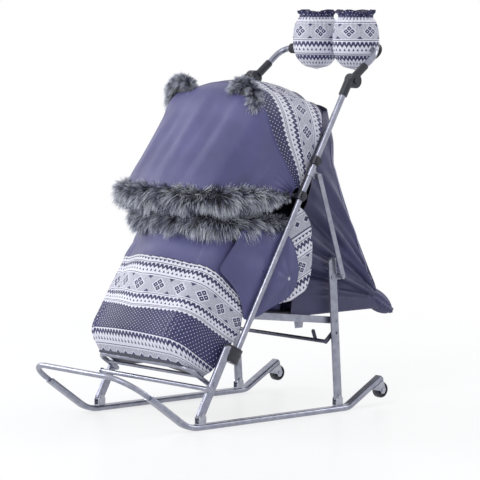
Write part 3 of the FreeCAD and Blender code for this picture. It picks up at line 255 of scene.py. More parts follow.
# White share of the chart at u along the bands and v down the chart
def knit_chart(graph, u, v):
    add, sub, mul, less, more = graph.add, graph.sub, graph.mul, graph.less, graph.more
    either, both, away = graph.either, graph.both, graph.away
    tooth = graph.wave(u, TOOTH)

    def band(low, high, share):
        inside = both(more(v, low), less(v, high))
        return both(inside, share)

    def line(centre):
        return less(away(v, centre), STRIPE / 2.0)

    def zigzag(top, height):
        down = mul(sub(v, top), 1.0 / height)
        crest = add(mul(tooth, 0.30), 0.40)
        thread = less(away(down, crest), 0.13)
        drop = less(add(mul(sub(1.0, tooth), 1.6), mul(down, 2.6)), 0.72)
        valley = sub(mul(sub(down, 0.60), 2.1), tooth)
        peak = both(more(valley, 0.0), less(down, 0.86))
        foot = both(more(down, crest), sub(1.0, peak))
        return either(either(thread, drop), foot)

    def stripes(top, *lines):
        dark = line(top + lines[0])
        for other in lines[1:]:
            dark = either(dark, line(top + other))
        return sub(1.0, dark)

    check = sub(1.0, both(less(graph.wave(u, CHECK_PITCH), CHECK_SHARE),
                                      less(graph.wave(v, CHECK_PITCH), CHECK_SHARE)))

    def diamonds(middle):
        x = graph.maths("PINGPONG", u, DIAMOND_PITCH / 2.0)
        y = away(v, middle)
        p = mul(x, 1.0 / DIAMOND_HALF_W)
        q = mul(y, 1.0 / DIAMOND_HALF_H)
        total = add(p, q)
        across = away(p, q)
        square = both(more(across, 0.07), less(total, 0.82))
        hollow = both(less(away(total, 0.44), 0.09), less(away(across, 0.42), 0.09))
        inside = either(sub(1.0, square), hollow)
        side = add(mul(sub(DIAMOND_PITCH / 2.0, x), 1.0 / MARK_HALF_W),
                         mul(away(y, DIAMOND_HALF_H + 2.0), 1.0 / MARK_HALF_H))
        ground = both(check, more(side, 1.0))
        within = less(total, 1.0)
        return add(mul(within, inside), mul(sub(1.0, within), ground))

    def small_marks(middle):
        x = graph.maths("PINGPONG", u, DIAMOND_PITCH / 4.0)
        spread = add(mul(x, 1.0 / MARK_HALF_W), mul(away(v, middle), 1.0 / MARK_HALF_H))
        edge = less(spread, 1.35)
        return either(both(check, sub(1.0, edge)), both(edge, more(spread, 1.0)))

    def dots():
        total = mul(add(u, v), 1.0 / DOT_PITCH)
        apart = mul(sub(u, v), 1.0 / DOT_PITCH)
        a = away(graph.maths("FRACT", add(total, 0.5)), 0.5)
        b = away(graph.maths("FRACT", add(apart, 0.5)), 0.5)
        return less(add(mul(a, a), mul(b, b)), DOT_SIZE)

    def teeth(top, height):
        return less(mul(sub(v, top), 1.0 / height), sub(1.0, tooth))

    rows = ((0.0, 6.0, 1.0), (6.0, 13.0, sub(1.0, teeth(6.0, 7.0))), (13.0, 15.0, 1.0),
            (15.0, 21.0, stripes(15.0, 3.0)),
            (21.0, 49.0, zigzag(21.0, 28.0)), (49.0, 57.0, stripes(49.0, 4.0)),
            (57.0, 99.0, diamonds(78.0)), (99.0, 107.0, stripes(99.0, 4.0)),
            (107.0, 137.0, zigzag(107.0, 30.0)), (137.0, 149.0, stripes(137.0, 4.0, 8.5)),
            (149.0, 157.0, teeth(149.0, 8.0)), (157.0, 247.0, dots()), (247.0, 250.0, 1.0),
            (250.0, 278.0, zigzag(250.0, 28.0)), (278.0, 286.0, stripes(278.0, 4.0)),
            (286.0, 326.0, small_marks(303.0)))
    share = 0.0
    for low, high, part in rows:
        share = either(share, band(low, high, part))
    return share


def knit_cloth(name):
    graph = Graph(name)
    u, v = graph.flat_place()
    chart_v = graph.mul(graph.maths("FRACT", graph.mul(v, 1.0 / CHART_HEIGHT)), CHART_HEIGHT)
    share = knit_chart(graph, u, chart_v)
    navy = graph.ramp(graph.noise(9.0, 4.0), ((0.3, NAVY_DEEP), (0.7, NAVY)))
    chalk = graph.ramp(graph.noise(300.0, 2.0), ((0.2, tuple(c * 0.86 for c in CHALK)), (0.8, CHALK)))
    colour = graph.mix(share, navy, chalk)
    roughness = graph.add(graph.mul(graph.noise(60.0), 0.15), 0.50)
    return graph.finish(colour, roughness, normal=woven_bump(graph, u, v, 1.3, 0.3), sheen_weight=0.06,
                        sheen_roughness=0.4)


# Tips from dark to silver; u holds the tone of a blade and v the place along it
FUR_TONES = ((0.30, (0.012, 0.013, 0.030)), (0.42, (0.13, 0.14, 0.24)), (0.50, (0.50, 0.53, 0.70)),
             (0.64, (0.88, 0.92, 1.0)))


def fur_material(name):
    graph = Graph(name)
    tone, along = graph.uv()
    patch = graph.noise(16.0, 3.0)
    tip = graph.ramp(graph.add(graph.mul(tone, 0.55), graph.mul(patch, 0.55)), FUR_TONES)
    root = (0.008, 0.008, 0.016)
    colour = graph.mix(graph.maths("POWER", along, 1.35), root, tip)
    return graph.finish(colour, 0.42, sheen_weight=0.1, sheen_roughness=0.5)


def hard_material(name, light, deep, roughness, metallic, grain, grain_bump, **levels):
    graph = Graph(name)
    colour = graph.ramp(graph.noise(grain / 12.0, 4.0), ((0.35, deep), (0.65, light)))
    rough = graph.add(graph.mul(graph.noise(grain / 5.0, 5.0), 0.18), roughness - 0.09)
    normal = graph.bump(graph.noise(grain, 2.0), grain_bump, 0.0002)
    return graph.finish(colour, rough, metallic, normal, **levels)


def webbing(name):
    graph = Graph(name)
    u, v = graph.flat_place()
    rib = graph.wave(graph.add(u, v), 2.0)
    colour = graph.mix(rib, (0.010, 0.010, 0.018), (0.030, 0.030, 0.045))
    return graph.finish(colour, 0.75, normal=graph.bump(rib, 0.6, 0.0004), sheen_weight=0.2)


COAT = hard_material("silver_coat", (0.33, 0.34, 0.41), (0.25, 0.26, 0.33), 0.34, 0.85, 700.0, 0.10)
STEEL = hard_material("zinc_steel", (0.42, 0.43, 0.49), (0.30, 0.31, 0.37), 0.30, 1.0, 500.0, 0.12)
DARK = hard_material("dark_coat", (0.10, 0.11, 0.15), (0.06, 0.065, 0.10), 0.42, 0.6, 600.0, 0.12)
PLASTIC = hard_material("black_plastic", (0.020, 0.021, 0.034), (0.012, 0.013, 0.022), 0.40, 0.0, 900.0, 0.15)
FOAM = hard_material("grip_foam", (0.024, 0.024, 0.034), (0.014, 0.014, 0.022), 0.80, 0.0, 1600.0, 0.5)
BOARD = hard_material("board", (0.030, 0.030, 0.045), (0.020, 0.020, 0.032), 0.60, 0.0, 400.0, 0.2)
SNAP = hard_material("snap_steel", (0.45, 0.46, 0.55), (0.30, 0.31, 0.40), 0.24, 1.0, 800.0, 0.08)
PLAIN = plain_cloth("plain_cloth", SLATE, SLATE_DEEP)
# Painted shade: the rear tent's cloth is a darker copy of the plain cloth
TENT_CLOTH_PAINTED_SHADE = plain_cloth("tent_cloth_painted_shade", (0.052, 0.052, 0.140), (0.020, 0.020, 0.062))
LINING = plain_cloth("lining_cloth", (0.030, 0.030, 0.070), (0.018, 0.018, 0.045))
KNIT = knit_cloth("knit_cloth")
PIPING = plain_cloth("piping", (0.30, 0.30, 0.46), (0.20, 0.20, 0.34))
BINDING = plain_cloth("binding", (0.035, 0.035, 0.085), (0.022, 0.022, 0.055))
FUR = fur_material("long_fur")
BLACK_PILE = plain_cloth("black_pile", (0.012, 0.012, 0.020), (0.006, 0.006, 0.012))
WEBBING = webbing("webbing")

NODE_FINISH = {
    "runner": COAT, "front_hoop": COAT, "front_leg": COAT, "front_crossbar": COAT, "handle_tube": COAT,
    "rear_leg": COAT, "footrest_frame": COAT, "seat_rail": COAT, "seat_rear_tube": COAT,
    "seat_front_tube": COAT, "brace_link": COAT, "brace_clamp": COAT, "hinge_bracket": STEEL,
    "front_bracket": STEEL, "rear_bracket": STEEL, "wheel_bracket": STEEL, "lock_bar": DARK,
    "hood_bow": DARK, "handle_bar": COAT, "lower_collar": PLASTIC, "upper_collar": PLASTIC,
    "knuckle_base": PLASTIC, "knuckle_head": PLASTIC, "knuckle_button": PLASTIC, "wheel": PLASTIC,
    "grip": FOAM, "seat_board": BOARD, "backrest_board": BOARD}

for name, node in frame["nodes"].items():
    stem = name.removesuffix("_left").removesuffix("_right")
    if stem in NODE_FINISH:
        node.data.materials.clear()
        node.data.materials.append(NODE_FINISH[stem])


# Mesh helpers
def hermite(xs, rows, x):
    xs = np.asarray(xs, dtype=float)
    rows = np.asarray(rows, dtype=float)
    slopes = np.gradient(rows, xs, axis=0)
    i = np.clip(np.searchsorted(xs, x) - 1, 0, len(xs) - 2)
    step = xs[i + 1] - xs[i]
    t = (x - xs[i]) / step
    if rows.ndim == 2:
        step = step[:, None]
        t = t[:, None]
    return ((2 * t ** 3 - 3 * t ** 2 + 1) * rows[i] + (t ** 3 - 2 * t ** 2 + t) * step * slopes[i]
            + (3 * t ** 2 - 2 * t ** 3) * rows[i + 1] + (t ** 3 - t ** 2) * step * slopes[i + 1])


# Points spread evenly along a line of points, with the distance of each from its start
def even(points, count):
    points = np.asarray(points, dtype=float)
    steps = np.linalg.norm(np.diff(points, axis=0), axis=1)
    far = np.concatenate([[0.0], np.cumsum(steps)])
    at = np.linspace(0.0, far[-1], count)
    return np.stack([np.interp(at, far, points[:, k]) for k in range(points.shape[1])], axis=1), at


# Each row drawn towards its neighbours, the ends kept
def smoothed(rows, passes):
    for _ in range(passes):
        rows[1:-1] = (rows[:-2] + rows[1:-1] * 2.0 + rows[2:]) / 4.0
    return rows


# An arch as (across, out) from its left foot to its right: legs, round corners, and a top with a crown
def arch(half_w, foot, side, corner, crown, counts):
    flat = half_w - corner
    leg = [(half_w, r) for r in np.linspace(foot, side - corner, counts[0])]
    bend = [(flat + corner * math.cos(a), side - corner + corner * math.sin(a))
            for a in np.linspace(0.0, math.pi / 2.0, counts[1])[1:]]
    top = [(x, side + crown * math.cos(math.pi * x / (2.0 * flat))) for x in np.linspace(flat, 0.0, counts[2])[1:]]
    half = leg + bend + top
    return half + [(-x, r) for x, r in half[::-1][1:]]


def smooth_step(x, low, high):
    t = np.clip((x - low) / (high - low), 0.0, 1.0)
    return t * t * (3.0 - 2.0 * t)


def grid_normals(grid, loop=False):
    down = np.gradient(grid, axis=0)
    if loop:
        across = (np.roll(grid, -1, axis=1) - np.roll(grid, 1, axis=1)) / 2.0
    else:
        across = np.gradient(grid, axis=1)
    normal = np.cross(down, across)
    size = np.linalg.norm(normal, axis=2, keepdims=True)
    return normal / np.maximum(size, 1e-9)


def add_object(name, verts, faces, uvs, materials, slots=None):
    mesh = bpy.data.meshes.new(name)
    mesh.from_pydata([tuple(v) for v in to_frame(verts)], [], [tuple(int(k) for k in f) for f in faces])
    layer = mesh.uv_layers.new(name="UVMap")
    loops = np.zeros(len(mesh.loops), dtype=np.int32)
    mesh.loops.foreach_get("vertex_index", loops)
    layer.data.foreach_set("uv", (np.asarray(uvs, dtype=float)[loops] * MM).ravel())
    for material in materials:
        mesh.materials.append(material)
    if slots is not None:
        mesh.polygons.foreach_set("material_index", np.asarray(slots, dtype=np.int32))
    mesh.polygons.foreach_set("use_smooth", np.ones(len(mesh.polygons), dtype=bool))
    mesh.update()
    made = bpy.data.objects.new(name, mesh)
    bpy.context.collection.objects.link(made)
    return made


# A cloth of some thickness from a grid of points on its outer face; side -1 turns the outer face round
def cloth(name, grid, uv, materials, thick=2.5, slots=None, side=1.0, loop=False, lining=0):
    rows, cols = grid.shape[:2]
    inner = grid - grid_normals(grid, loop) * thick * side
    verts = np.concatenate([grid.reshape(-1, 3), inner.reshape(-1, 3)])
    index = np.arange(rows * cols).reshape(rows, cols)
    if loop:
        index = np.concatenate([index, index[:, :1]], axis=1)
    quads = np.stack([index[:-1, :-1], index[1:, :-1], index[1:, 1:], index[:-1, 1:]], axis=2).reshape(-1, 4)
    if side < 0:
        quads = quads[:, ::-1]
    under = quads[:, ::-1] + rows * cols
    rims = [index[0], index[-1][::-1]]
    if not loop:
        rims += [index[:, 0][::-1], index[:, -1]]
    rim_faces = []
    for rim in rims:
        for a, b in zip(rim, rim[1:]):
            face = (a, b, b + rows * cols, a + rows * cols)
            rim_faces.append(face[::-1] if side > 0 else face)
    faces = np.concatenate([quads, under, np.array(rim_faces)])
    uvs = np.concatenate([uv.reshape(-1, 2)] * 2)
    if slots is None:
        slots = np.zeros(len(quads), dtype=int)
    all_slots = np.concatenate([np.asarray(slots).ravel(), np.full(len(under), lining),
                                np.full(len(rim_faces), lining)])
    return add_object(name, verts, faces, uvs, materials, all_slots)


# A tube through points, with a radius for each and closed ends
def tube(name, points, radii, material, sides=12, up=(0.0, 0.0, 1.0), squash=1.0):
    points = np.asarray(points, dtype=float)
    radii = np.broadcast_to(np.asarray(radii, dtype=float), (len(points),))
    tangent = np.gradient(points, axis=0)
    tangent /= np.linalg.norm(tangent, axis=1, keepdims=True)
    side = np.cross(tangent, np.broadcast_to(np.asarray(up, dtype=float), tangent.shape))
    side /= np.maximum(np.linalg.norm(side, axis=1, keepdims=True), 1e-9)
    top = np.cross(side, tangent)
    angles = np.linspace(0.0, 2.0 * math.pi, sides, endpoint=False)
    ring = (side[:, None, :] * np.cos(angles)[None, :, None]
            + top[:, None, :] * np.sin(angles)[None, :, None] * squash)
    verts = (points[:, None, :] + ring * radii[:, None, None]).reshape(-1, 3)
    count = len(points)
    faces = []
    for i in range(count - 1):
        for j in range(sides):
            k = (j + 1) % sides
            faces.append((i * sides + j, i * sides + k, (i + 1) * sides + k, (i + 1) * sides + j))
    first = len(verts)
    verts = np.concatenate([verts, points[:1], points[-1:]])
    for j in range(sides):
        k = (j + 1) % sides
        faces.append((first, k, j))
        faces.append((first + 1, (count - 1) * sides + j, (count - 1) * sides + k))
    far = np.concatenate([[0.0], np.cumsum(np.linalg.norm(np.diff(points, axis=0), axis=1))])
    uv = np.stack([np.repeat(far, sides), np.tile(angles * radii.mean(), count)], axis=1)
    uv = np.concatenate([uv, [[0.0, 0.0], [far[-1], 0.0]]])
    return add_object(name, verts, faces, uv, [material])


# Long fur: thin tapered blades in tufts, from root points with an outward and a flow direction
def fur_blades(name, roots, outward, flow, lengths, seed, clump_of, width=1.7, clumping=0.55):
    random = np.random.default_rng(seed)
    count = len(roots)
    clumps = clump_of.max() + 1
    lean = random.normal(0.0, 0.22, (clumps, 3))
    direction = outward + flow + lean[clump_of] * clumping * 2.0 + random.normal(0.0, 0.16, (count, 3))
    direction /= np.linalg.norm(direction, axis=1, keepdims=True)
    length = lengths * random.uniform(0.65, 1.15, count)
    droop = np.zeros((count, 3))
    droop[:, 2] = -0.30 * length * random.uniform(0.4, 1.3, count)
    tips = roots + direction * length[:, None] + droop
    centre = np.zeros((clumps, 3))
    np.add.at(centre, clump_of, tips)
    centre /= np.maximum(np.bincount(clump_of, minlength=clumps), 1)[:, None]
    tips += (centre[clump_of] - tips) * clumping * random.uniform(0.3, 1.0, count)[:, None]
    bend = roots + direction * length[:, None] * 0.5
    sideways = np.cross(direction, random.normal(0.0, 1.0, (count, 3)))
    sideways /= np.linalg.norm(sideways, axis=1, keepdims=True)
    levels = ((0.0, 1.0), (0.33, 0.9), (0.67, 0.6))
    verts = []
    uvs = []
    tone = random.uniform(0.0, 1.0, clumps)[clump_of] * 0.6 + random.uniform(0.0, 1.0, count) * 0.4
    for t, w in levels:
        middle = (1 - t) ** 2 * roots + 2 * t * (1 - t) * bend + t * t * tips
        for sign in (-1.0, 1.0):
            verts.append(middle + sideways * sign * width * w / 2.0)
            uvs.append(np.stack([tone, np.full(count, t)], axis=1) / MM)
    verts.append(tips)
    uvs.append(np.stack([tone, np.ones(count)], axis=1) / MM)
    verts = np.stack(verts, axis=1).reshape(-1, 3)
    uvs = np.stack(uvs, axis=1).reshape(-1, 2)
    base = np.arange(count)[:, None] * 7
    quads = np.concatenate([base + np.array([0, 1, 3, 2]), base + np.array([2, 3, 5, 4])])
    tris = base + np.array([4, 5, 6])
    return add_object(name, verts, list(quads) + list(tris), uvs, [FUR])


TUFT = 16.0


# A fur roll along a path: a dark core with blades all round it, in tufts about TUFT long
def fur_roll(name, path, core, reach, seed, count, drop=0.35, plane=(0.0, 0.0, 1.0), ends=0.45):
    random = np.random.default_rng(seed)
    last = 239
    path, far = even(path, last + 1)
    share = far / far[-1]
    taper = ends + (1.0 - ends) * np.minimum(smooth_step(share, 0.0, 0.16), smooth_step(1.0 - share, 0.0, 0.16))
    swell = 1.0 + 0.10 * np.sin(share * 41.0 + seed) + 0.08 * np.sin(share * 67.0 + 2.0 * seed)
    made_core = tube(name + "_core", path, core * taper, BLACK_PILE, 16, plane)
    tangent = np.gradient(path, axis=0)
    tangent /= np.linalg.norm(tangent, axis=1, keepdims=True)
    side = np.cross(tangent, np.broadcast_to(np.asarray(plane, dtype=float), tangent.shape))
    side /= np.linalg.norm(side, axis=1, keepdims=True)
    top = np.cross(side, tangent)
    spot = random.uniform(0, last, count)
    low = spot.astype(int)
    angle = random.uniform(0.0, 2.0 * math.pi, count)
    part = (spot - low)[:, None]
    centre = path[low] * (1 - part) + path[low + 1 - (low == last)] * part
    outward = side[low] * np.cos(angle)[:, None] + top[low] * np.sin(angle)[:, None]
    roots = centre + outward * (core * taper[low] * 0.9)[:, None]
    across = int(far[-1] / TUFT)
    around = 9
    jitter = random.uniform(-0.5, 0.5, (2, count))
    clump = (np.clip((spot / last * across + jitter[0]).astype(int), 0, across - 1) * around
             + ((angle / (2 * math.pi) * around + jitter[1]).astype(int) % around))
    flow = tangent[low] * random.normal(0.0, 0.25, count)[:, None]
    flow[:, 2] -= drop
    blades = fur_blades(name, roots, outward, flow, reach * (taper * swell)[low], seed, clump)
    made_core.parent = blades
    return blades


# Hood
# Bows about the pivot, each as (angle, reach, corner radius, crown), angles from the rear over the top
HOOD_HALF_W = 187.0
HOOD_BASE = 20.0
HOOD_BOWS = ((61.5, 290.0, 104.0, 28.0), (78.0, 290.0, 104.0, 28.0), (93.0, 294.0, 96.0, 26.0),
             (106.0, 302.0, 82.0, 20.0), (116.0, 303.0, 72.0, 14.0), (133.0, 280.0, 84.0, 12.0),
             (158.0, 288.0, 98.0, 10.0), (175.0, 324.0, 102.0, 12.0))
HOOD_REAR = HOOD_BOWS[0][0]
HOOD_FRONT = HOOD_BOWS[-1][0]
# Angles of the knit's seam: widest, at the crown and at the pivot
HOOD_SEAM = 118.0
HOOD_SEAM_CROWN = 108.0
HOOD_SEAM_BASE = 109.0
HOOD_CHART_SEAM = 193.0
HOOD_CHART_REACH = 168.0
HOOD_HALF_ARC = 420.0
BOW_COLS = 181


def bow_line(reach, corner, crown, half_w=HOOD_HALF_W, base=HOOD_BASE):
    return arch(half_w, base, reach - crown, corner, crown, (30, 40, 30))


def bow_sizes(angles):
    table = np.array(HOOD_BOWS)
    return hermite(table[:, 0], table[:, 1:], angles)


# Points in the plane of a bow, from the distances across and out from the pivot
def on_bow(x, radius, angle):
    a = math.radians(angle)
    return np.stack([x, HOOD_PIVOT[1] + radius * math.cos(a), HOOD_PIVOT[2] + radius * math.sin(a)], axis=-1)


# The cloth over the bows, with its creases
def hood_surface(angles):
    grid = np.zeros((len(angles), BOW_COLS, 3))
    for i, (angle, (reach, corner, crown)) in enumerate(zip(angles, bow_sizes(angles))):
        line, far = even(bow_line(reach, corner, crown), BOW_COLS)
        x, radius = line[:, 0], line[:, 1]
        middle = far - far[-1] / 2.0
        share = np.abs(middle) / (far[-1] / 2.0)
        between = np.sin(np.clip((angle - HOOD_SEAM) / (HOOD_FRONT - HOOD_SEAM), 0.0, 1.0) * math.pi)
        fold = (2.6 * np.sin(middle * 0.052 + angle * 0.020) + 1.6 * np.sin(middle * 0.11 - angle * 0.03 + 1.3))
        fold = fold * between * (1.0 - share ** 4)
        near = smooth_step(share, 0.80, 0.98) * between
        fold += near * 2.4 * np.sin((angle - HOOD_SEAM) * 0.55)
        rear = np.sin(np.clip((HOOD_SEAM - angle) / (HOOD_SEAM - HOOD_REAR), 0.0, 1.0) * math.pi)
        fold -= 3.5 * rear * (1.0 - share ** 3)
        out = np.stack([x / HOOD_HALF_W, radius / reach], axis=1) ** 3
        out = np.sign(out) * np.abs(out)
        out /= np.linalg.norm(out, axis=1, keepdims=True)
        grid[i] = on_bow(x + out[:, 0] * fold, radius + out[:, 1] * fold, angle)
    return grid


# Points at the middle of the rear bow and near the middle of the front bow, in frame metres
BLEND_START = to_frame(on_bow(0.0, 290.0, HOOD_REAR))
BLEND_END = to_frame(on_bow(0.0, 320.0, HOOD_FRONT))


def on_hood(piece):
    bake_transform(piece)


# Seam angle by share of the half bow, from the crown down to the pivot
def seam_angles():
    share = np.abs(np.linspace(-1.0, 1.0, BOW_COLS))
    return hermite([0.0, 0.25, 0.50, 0.72, 1.0],
                   [HOOD_SEAM_CROWN, 109.5, 116.0, HOOD_SEAM, HOOD_SEAM_BASE], share)


def make_hood():
    fine = np.linspace(HOOD_REAR, HOOD_FRONT, 228)
    base = hood_surface(fine)
    seam = seam_angles()
    knit_rows = 70
    plain_rows = 100
    angles = np.concatenate([HOOD_REAR + (seam - HOOD_REAR) * np.linspace(0.0, 1.0, knit_rows)[:, None],
                             seam + (HOOD_FRONT - seam) * np.linspace(0.0, 1.0, plain_rows)[1:, None]])
    grid = np.zeros((len(angles), BOW_COLS, 3))
    for j in range(BOW_COLS):
        for k in range(3):
            grid[:, j, k] = np.interp(angles[:, j], fine, base[:, j, k])
    radius = np.hypot(grid[:, :, 1] - HOOD_PIVOT[1], grid[:, :, 2] - HOOD_PIVOT[2])
    spread = HOOD_CHART_REACH * (np.maximum(radius, HOOD_BASE) / HOOD_CHART_REACH) ** 0.55
    middle = np.broadcast_to(np.linspace(-1.0, 1.0, BOW_COLS) * HOOD_HALF_ARC, radius.shape)
    place = np.stack([middle, HOOD_CHART_SEAM - np.radians(seam - angles) * spread], axis=2)
    slots = np.zeros((len(angles) - 1, BOW_COLS - 1), dtype=int)
    slots[:knit_rows - 1] = 1
    hood = cloth("hood", grid, place, [PLAIN, KNIT, LINING], 2.5, slots, side=-1.0, lining=2)
    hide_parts("hood_front", "hood_rear")
    on_hood(hood)
    for name, row, radius, finish in (("hood_seam", knit_rows - 1, 1.6, PLAIN), ("hood_binding", 1, 2.4, BINDING)):
        trim = tube(name, grid[row], radius, finish, 8, (0.0, 1.0, 0.3))
        on_hood(trim)


make_hood()


# Fur edge of the hood, a little in front of the front bow
HOOD_FUR_ANGLE = 178.2
HOOD_FUR_ARCH = {"reach": 318.0, "corner": 102.0, "crown": 6.0, "half_w": 184.0, "base": 30.0}
fur_line = even(bow_line(**HOOD_FUR_ARCH), 160)[0]
fur_path = on_bow(fur_line[:, 0], fur_line[:, 1], HOOD_FUR_ANGLE)
hood_fur = fur_roll("hood_fur_roll", fur_path, 15.0, 35.0, 11, 15000, 0.30)
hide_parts("hood_fur")
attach(hood_fur, "hood_bow")


# Ears
EAR_X = 123.0
EAR_R = 42.0
EAR_ANGLE = 116.5
EAR_SINK = 12.0
EAR_LEAN = math.radians(32.0)
EAR_BLADES = 6500


# A half disc on the hood, with fur that grows from its rim
def make_ear(side, label, seed):
    line, _ = even(bow_line(*bow_sizes(np.array([EAR_ANGLE]))[0]), 800)
    near = line[np.argmin(np.abs(line[:, 0] - EAR_X))]
    centre = on_bow(side * EAR_X, near[1] - EAR_SINK, EAR_ANGLE)
    lean = EAR_LEAN * side
    up = np.array([math.sin(lean), 0.0, math.cos(lean)])
    across = np.array([math.cos(lean), 0.0, -math.sin(lean)])
    forward = np.array([0.0, -1.0, 0.0])
    cols = 60
    angles = np.linspace(math.radians(-12.0), math.radians(192.0), cols)
    rim = centre + EAR_R * (np.cos(angles)[:, None] * across + np.sin(angles)[:, None] * up)
    rows = 16
    share = np.linspace(0.0, 1.0, rows)[:, None, None]
    grid = centre[None, None, :] * (1 - share) + rim[None, :, :] * share
    flat = np.stack([np.repeat(np.linspace(0, EAR_R, rows)[:, None], cols, axis=1),
                     np.repeat(np.linspace(0, 120.0, cols)[None, :], rows, axis=0)], axis=2)
    puff = (1.0 - share[:, :, 0] ** 3)[:, :, None] * 6.0
    front = grid + forward * (puff + 1.0)
    back = grid - forward * (puff + 1.0)
    ear = cloth("ear_" + label + "_shell", np.concatenate([front, back[::-1]]), np.concatenate([flat, flat[::-1]]),
                [BLACK_PILE], 0.8)
    random = np.random.default_rng(seed)
    count = EAR_BLADES
    spot = random.uniform(0, cols - 1, count)
    low = np.minimum(spot.astype(int), cols - 2)
    part = (spot - low)[:, None]
    base = rim[low] * (1 - part) + rim[low + 1] * part
    radial = base - centre
    radial /= np.linalg.norm(radial, axis=1, keepdims=True)
    spin = random.uniform(-math.pi, math.pi, count)
    outward = radial * np.cos(spin * 0.55)[:, None] + forward * np.sin(spin * 0.75)[:, None] * -0.5
    inward = random.uniform(0.0, 1.0, count) ** 1.5
    behind = (np.sin(spin * 0.75) > 0.15)
    shift = np.where(behind, inward * 30.0, inward * 6.0)
    roots = base - radial * shift[:, None] + forward * np.where(behind, -5.0, 2.0)[:, None]
    clump = (low // 3) * 8 + ((spin + math.pi) / (2 * math.pi) * 8).astype(int) % 8
    blades = fur_blades("ear_" + label + "_fur", roots, outward, np.zeros((count, 3)), np.full(count, 30.0),
                        seed + 10, clump, 1.5)
    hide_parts("ear_" + label)
    for piece in (ear, blades):
        on_hood(piece)


make_ear(1.0, "left", 21)
make_ear(-1.0, "right", 22)


# Foot muff
# Rings as (back y, back z, front y, front z, half width, front crown, corner radius), from the toe up
MUFF_HALF_W = 187.0
MUFF_RINGS = ((50.0, 126.0, -32.0, 168.0, 170.0, 6.0, 30.0), (66.0, 140.0, -52.0, 220.0, 182.0, 10.0, 44.0),
              (112.0, 188.0, -22.0, 292.0, MUFF_HALF_W, 20.0, 58.0),
              (158.0, 252.0, 24.0, 368.0, MUFF_HALF_W, 34.0, 60.0),
              (156.0, 336.0, 72.0, 432.0, MUFF_HALF_W, 36.0, 56.0),
              (154.0, 436.0, 104.0, 492.0, 181.0, 36.0, 62.0))
# Knit chart down the muff, as (distance up the front, place on the chart)
PANEL_CHART = ((-10.0, 312.0), (20.0, 283.0), (64.0, 248.0), (127.0, 143.0), (157.0, 103.0), (207.0, 51.0),
               (253.0, 0.0), (320.0, -70.0))
MUFF_COLS = 201
# How fast the chart's bands fall away from the middle of the muff
PANEL_FALL = 0.105
# Slots of the cover: plain above the knit panel, bound along its top edge
PLAIN_SLOT, KNIT_SLOT, LINING_SLOT, BINDING_SLOT = range(4)


def make_muff():
    rings = np.array(MUFF_RINGS)
    up = np.concatenate([[0.0], np.cumsum(np.hypot(np.diff(rings[:, 2]), np.diff(rings[:, 3])))])
    levels = np.linspace(0.0, up[-1], 150)
    table = hermite(up, rings, levels)
    grid = np.zeros((len(levels), MUFF_COLS, 3))
    place = np.zeros((len(levels), MUFF_COLS, 2))
    for i, (y0, z0, y1, z1, half_w, crown, corner) in enumerate(table):
        depth = math.hypot(y1 - y0, z1 - z0)
        line, far = even(arch(half_w, 0.0, depth, corner, crown, (24, 30, 40)), MUFF_COLS)
        middle = far - far[-1] / 2.0
        grid[i, :, 0] = line[:, 0]
        grid[i, :, 1] = y0 + line[:, 1] * (y1 - y0) / depth
        grid[i, :, 2] = z0 + line[:, 1] * (z1 - z0) / depth
        place[i, :, 0] = middle
    rise = PANEL_FALL * np.abs(place[:, :, 0]) * smooth_step(levels, 60.0, 140.0)[:, None]
    chart = np.array(PANEL_CHART)
    place[:, :, 1] = hermite(chart[:, 0], chart[:, 1], (levels[:, None] - rise).ravel()).reshape(grid.shape[:2])
    normal = grid_normals(grid)
    across = place[:, :, 0]
    tall = np.arange(len(levels))[:, None] / (len(levels) - 1.0)
    corner_near = np.exp(-((np.abs(across) - 165.0) / 34.0) ** 2) * np.exp(-((tall - 0.24) / 0.16) ** 2)
    wrinkle = 2.2 * np.sin(across * 0.35 + tall * 30.0) * corner_near
    wrinkle += 2.4 * np.sin(across * 0.030 + 0.6) * np.sin(tall * math.pi)
    wrinkle += 1.5 * np.sin(tall * 34.0 + across * 0.012) * smooth_step(tall, 0.55, 0.8)
    from_edge = MUFF_COLS / 2.0 - np.abs(np.arange(MUFF_COLS) - MUFF_COLS // 2)
    edge = smooth_step(tall, 0.0, 0.06) * np.clip(from_edge / 14.0, 0.0, 1.0)[None, :]
    grid = grid + normal * (wrinkle * edge)[:, :, None]
    middle_v = (place[:-1, :-1, 1] + place[1:, 1:, 1]) / 2.0
    slots = np.where(middle_v < -1.5, PLAIN_SLOT, np.where(middle_v < 1.5, BINDING_SLOT, KNIT_SLOT))
    muff = cloth("foot_muff_cover", grid, place, [PLAIN, KNIT, LINING, BINDING], 5.0, slots, lining=LINING_SLOT)
    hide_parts("foot_muff")
    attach(muff, "seat")
    sole_rows = np.linspace(0.0, 1.0, 12)[:, None, None]
    ring = grid[0]
    centre = np.stack([ring[:, 0] * 0.1, np.interp(np.abs(ring[:, 0]), [0, MUFF_HALF_W], [10.0, 30.0]),
                       np.full(len(ring), 147.0)], axis=1)
    sole = ring[None, :, :] * (1 - sole_rows) + centre[None, :, :] * sole_rows
    sole[:, :, 2] -= 3.0 * np.sin(sole_rows[:, :, 0] * math.pi)
    flat = np.stack([sole[:, :, 0], sole[:, :, 1]], axis=2)
    bottom = cloth("foot_muff_sole", sole, flat, [LINING], 3.0)
    bottom.parent = muff
    return muff


muff = make_muff()

MUFF_FUR_PATH = ((168.0, 312.0, 490.0), (172.0, 200.0, 494.0), (166.0, 94.0, 506.0), (0.0, 60.0, 512.0),
                 (-166.0, 94.0, 506.0), (-172.0, 200.0, 494.0), (-168.0, 312.0, 490.0))


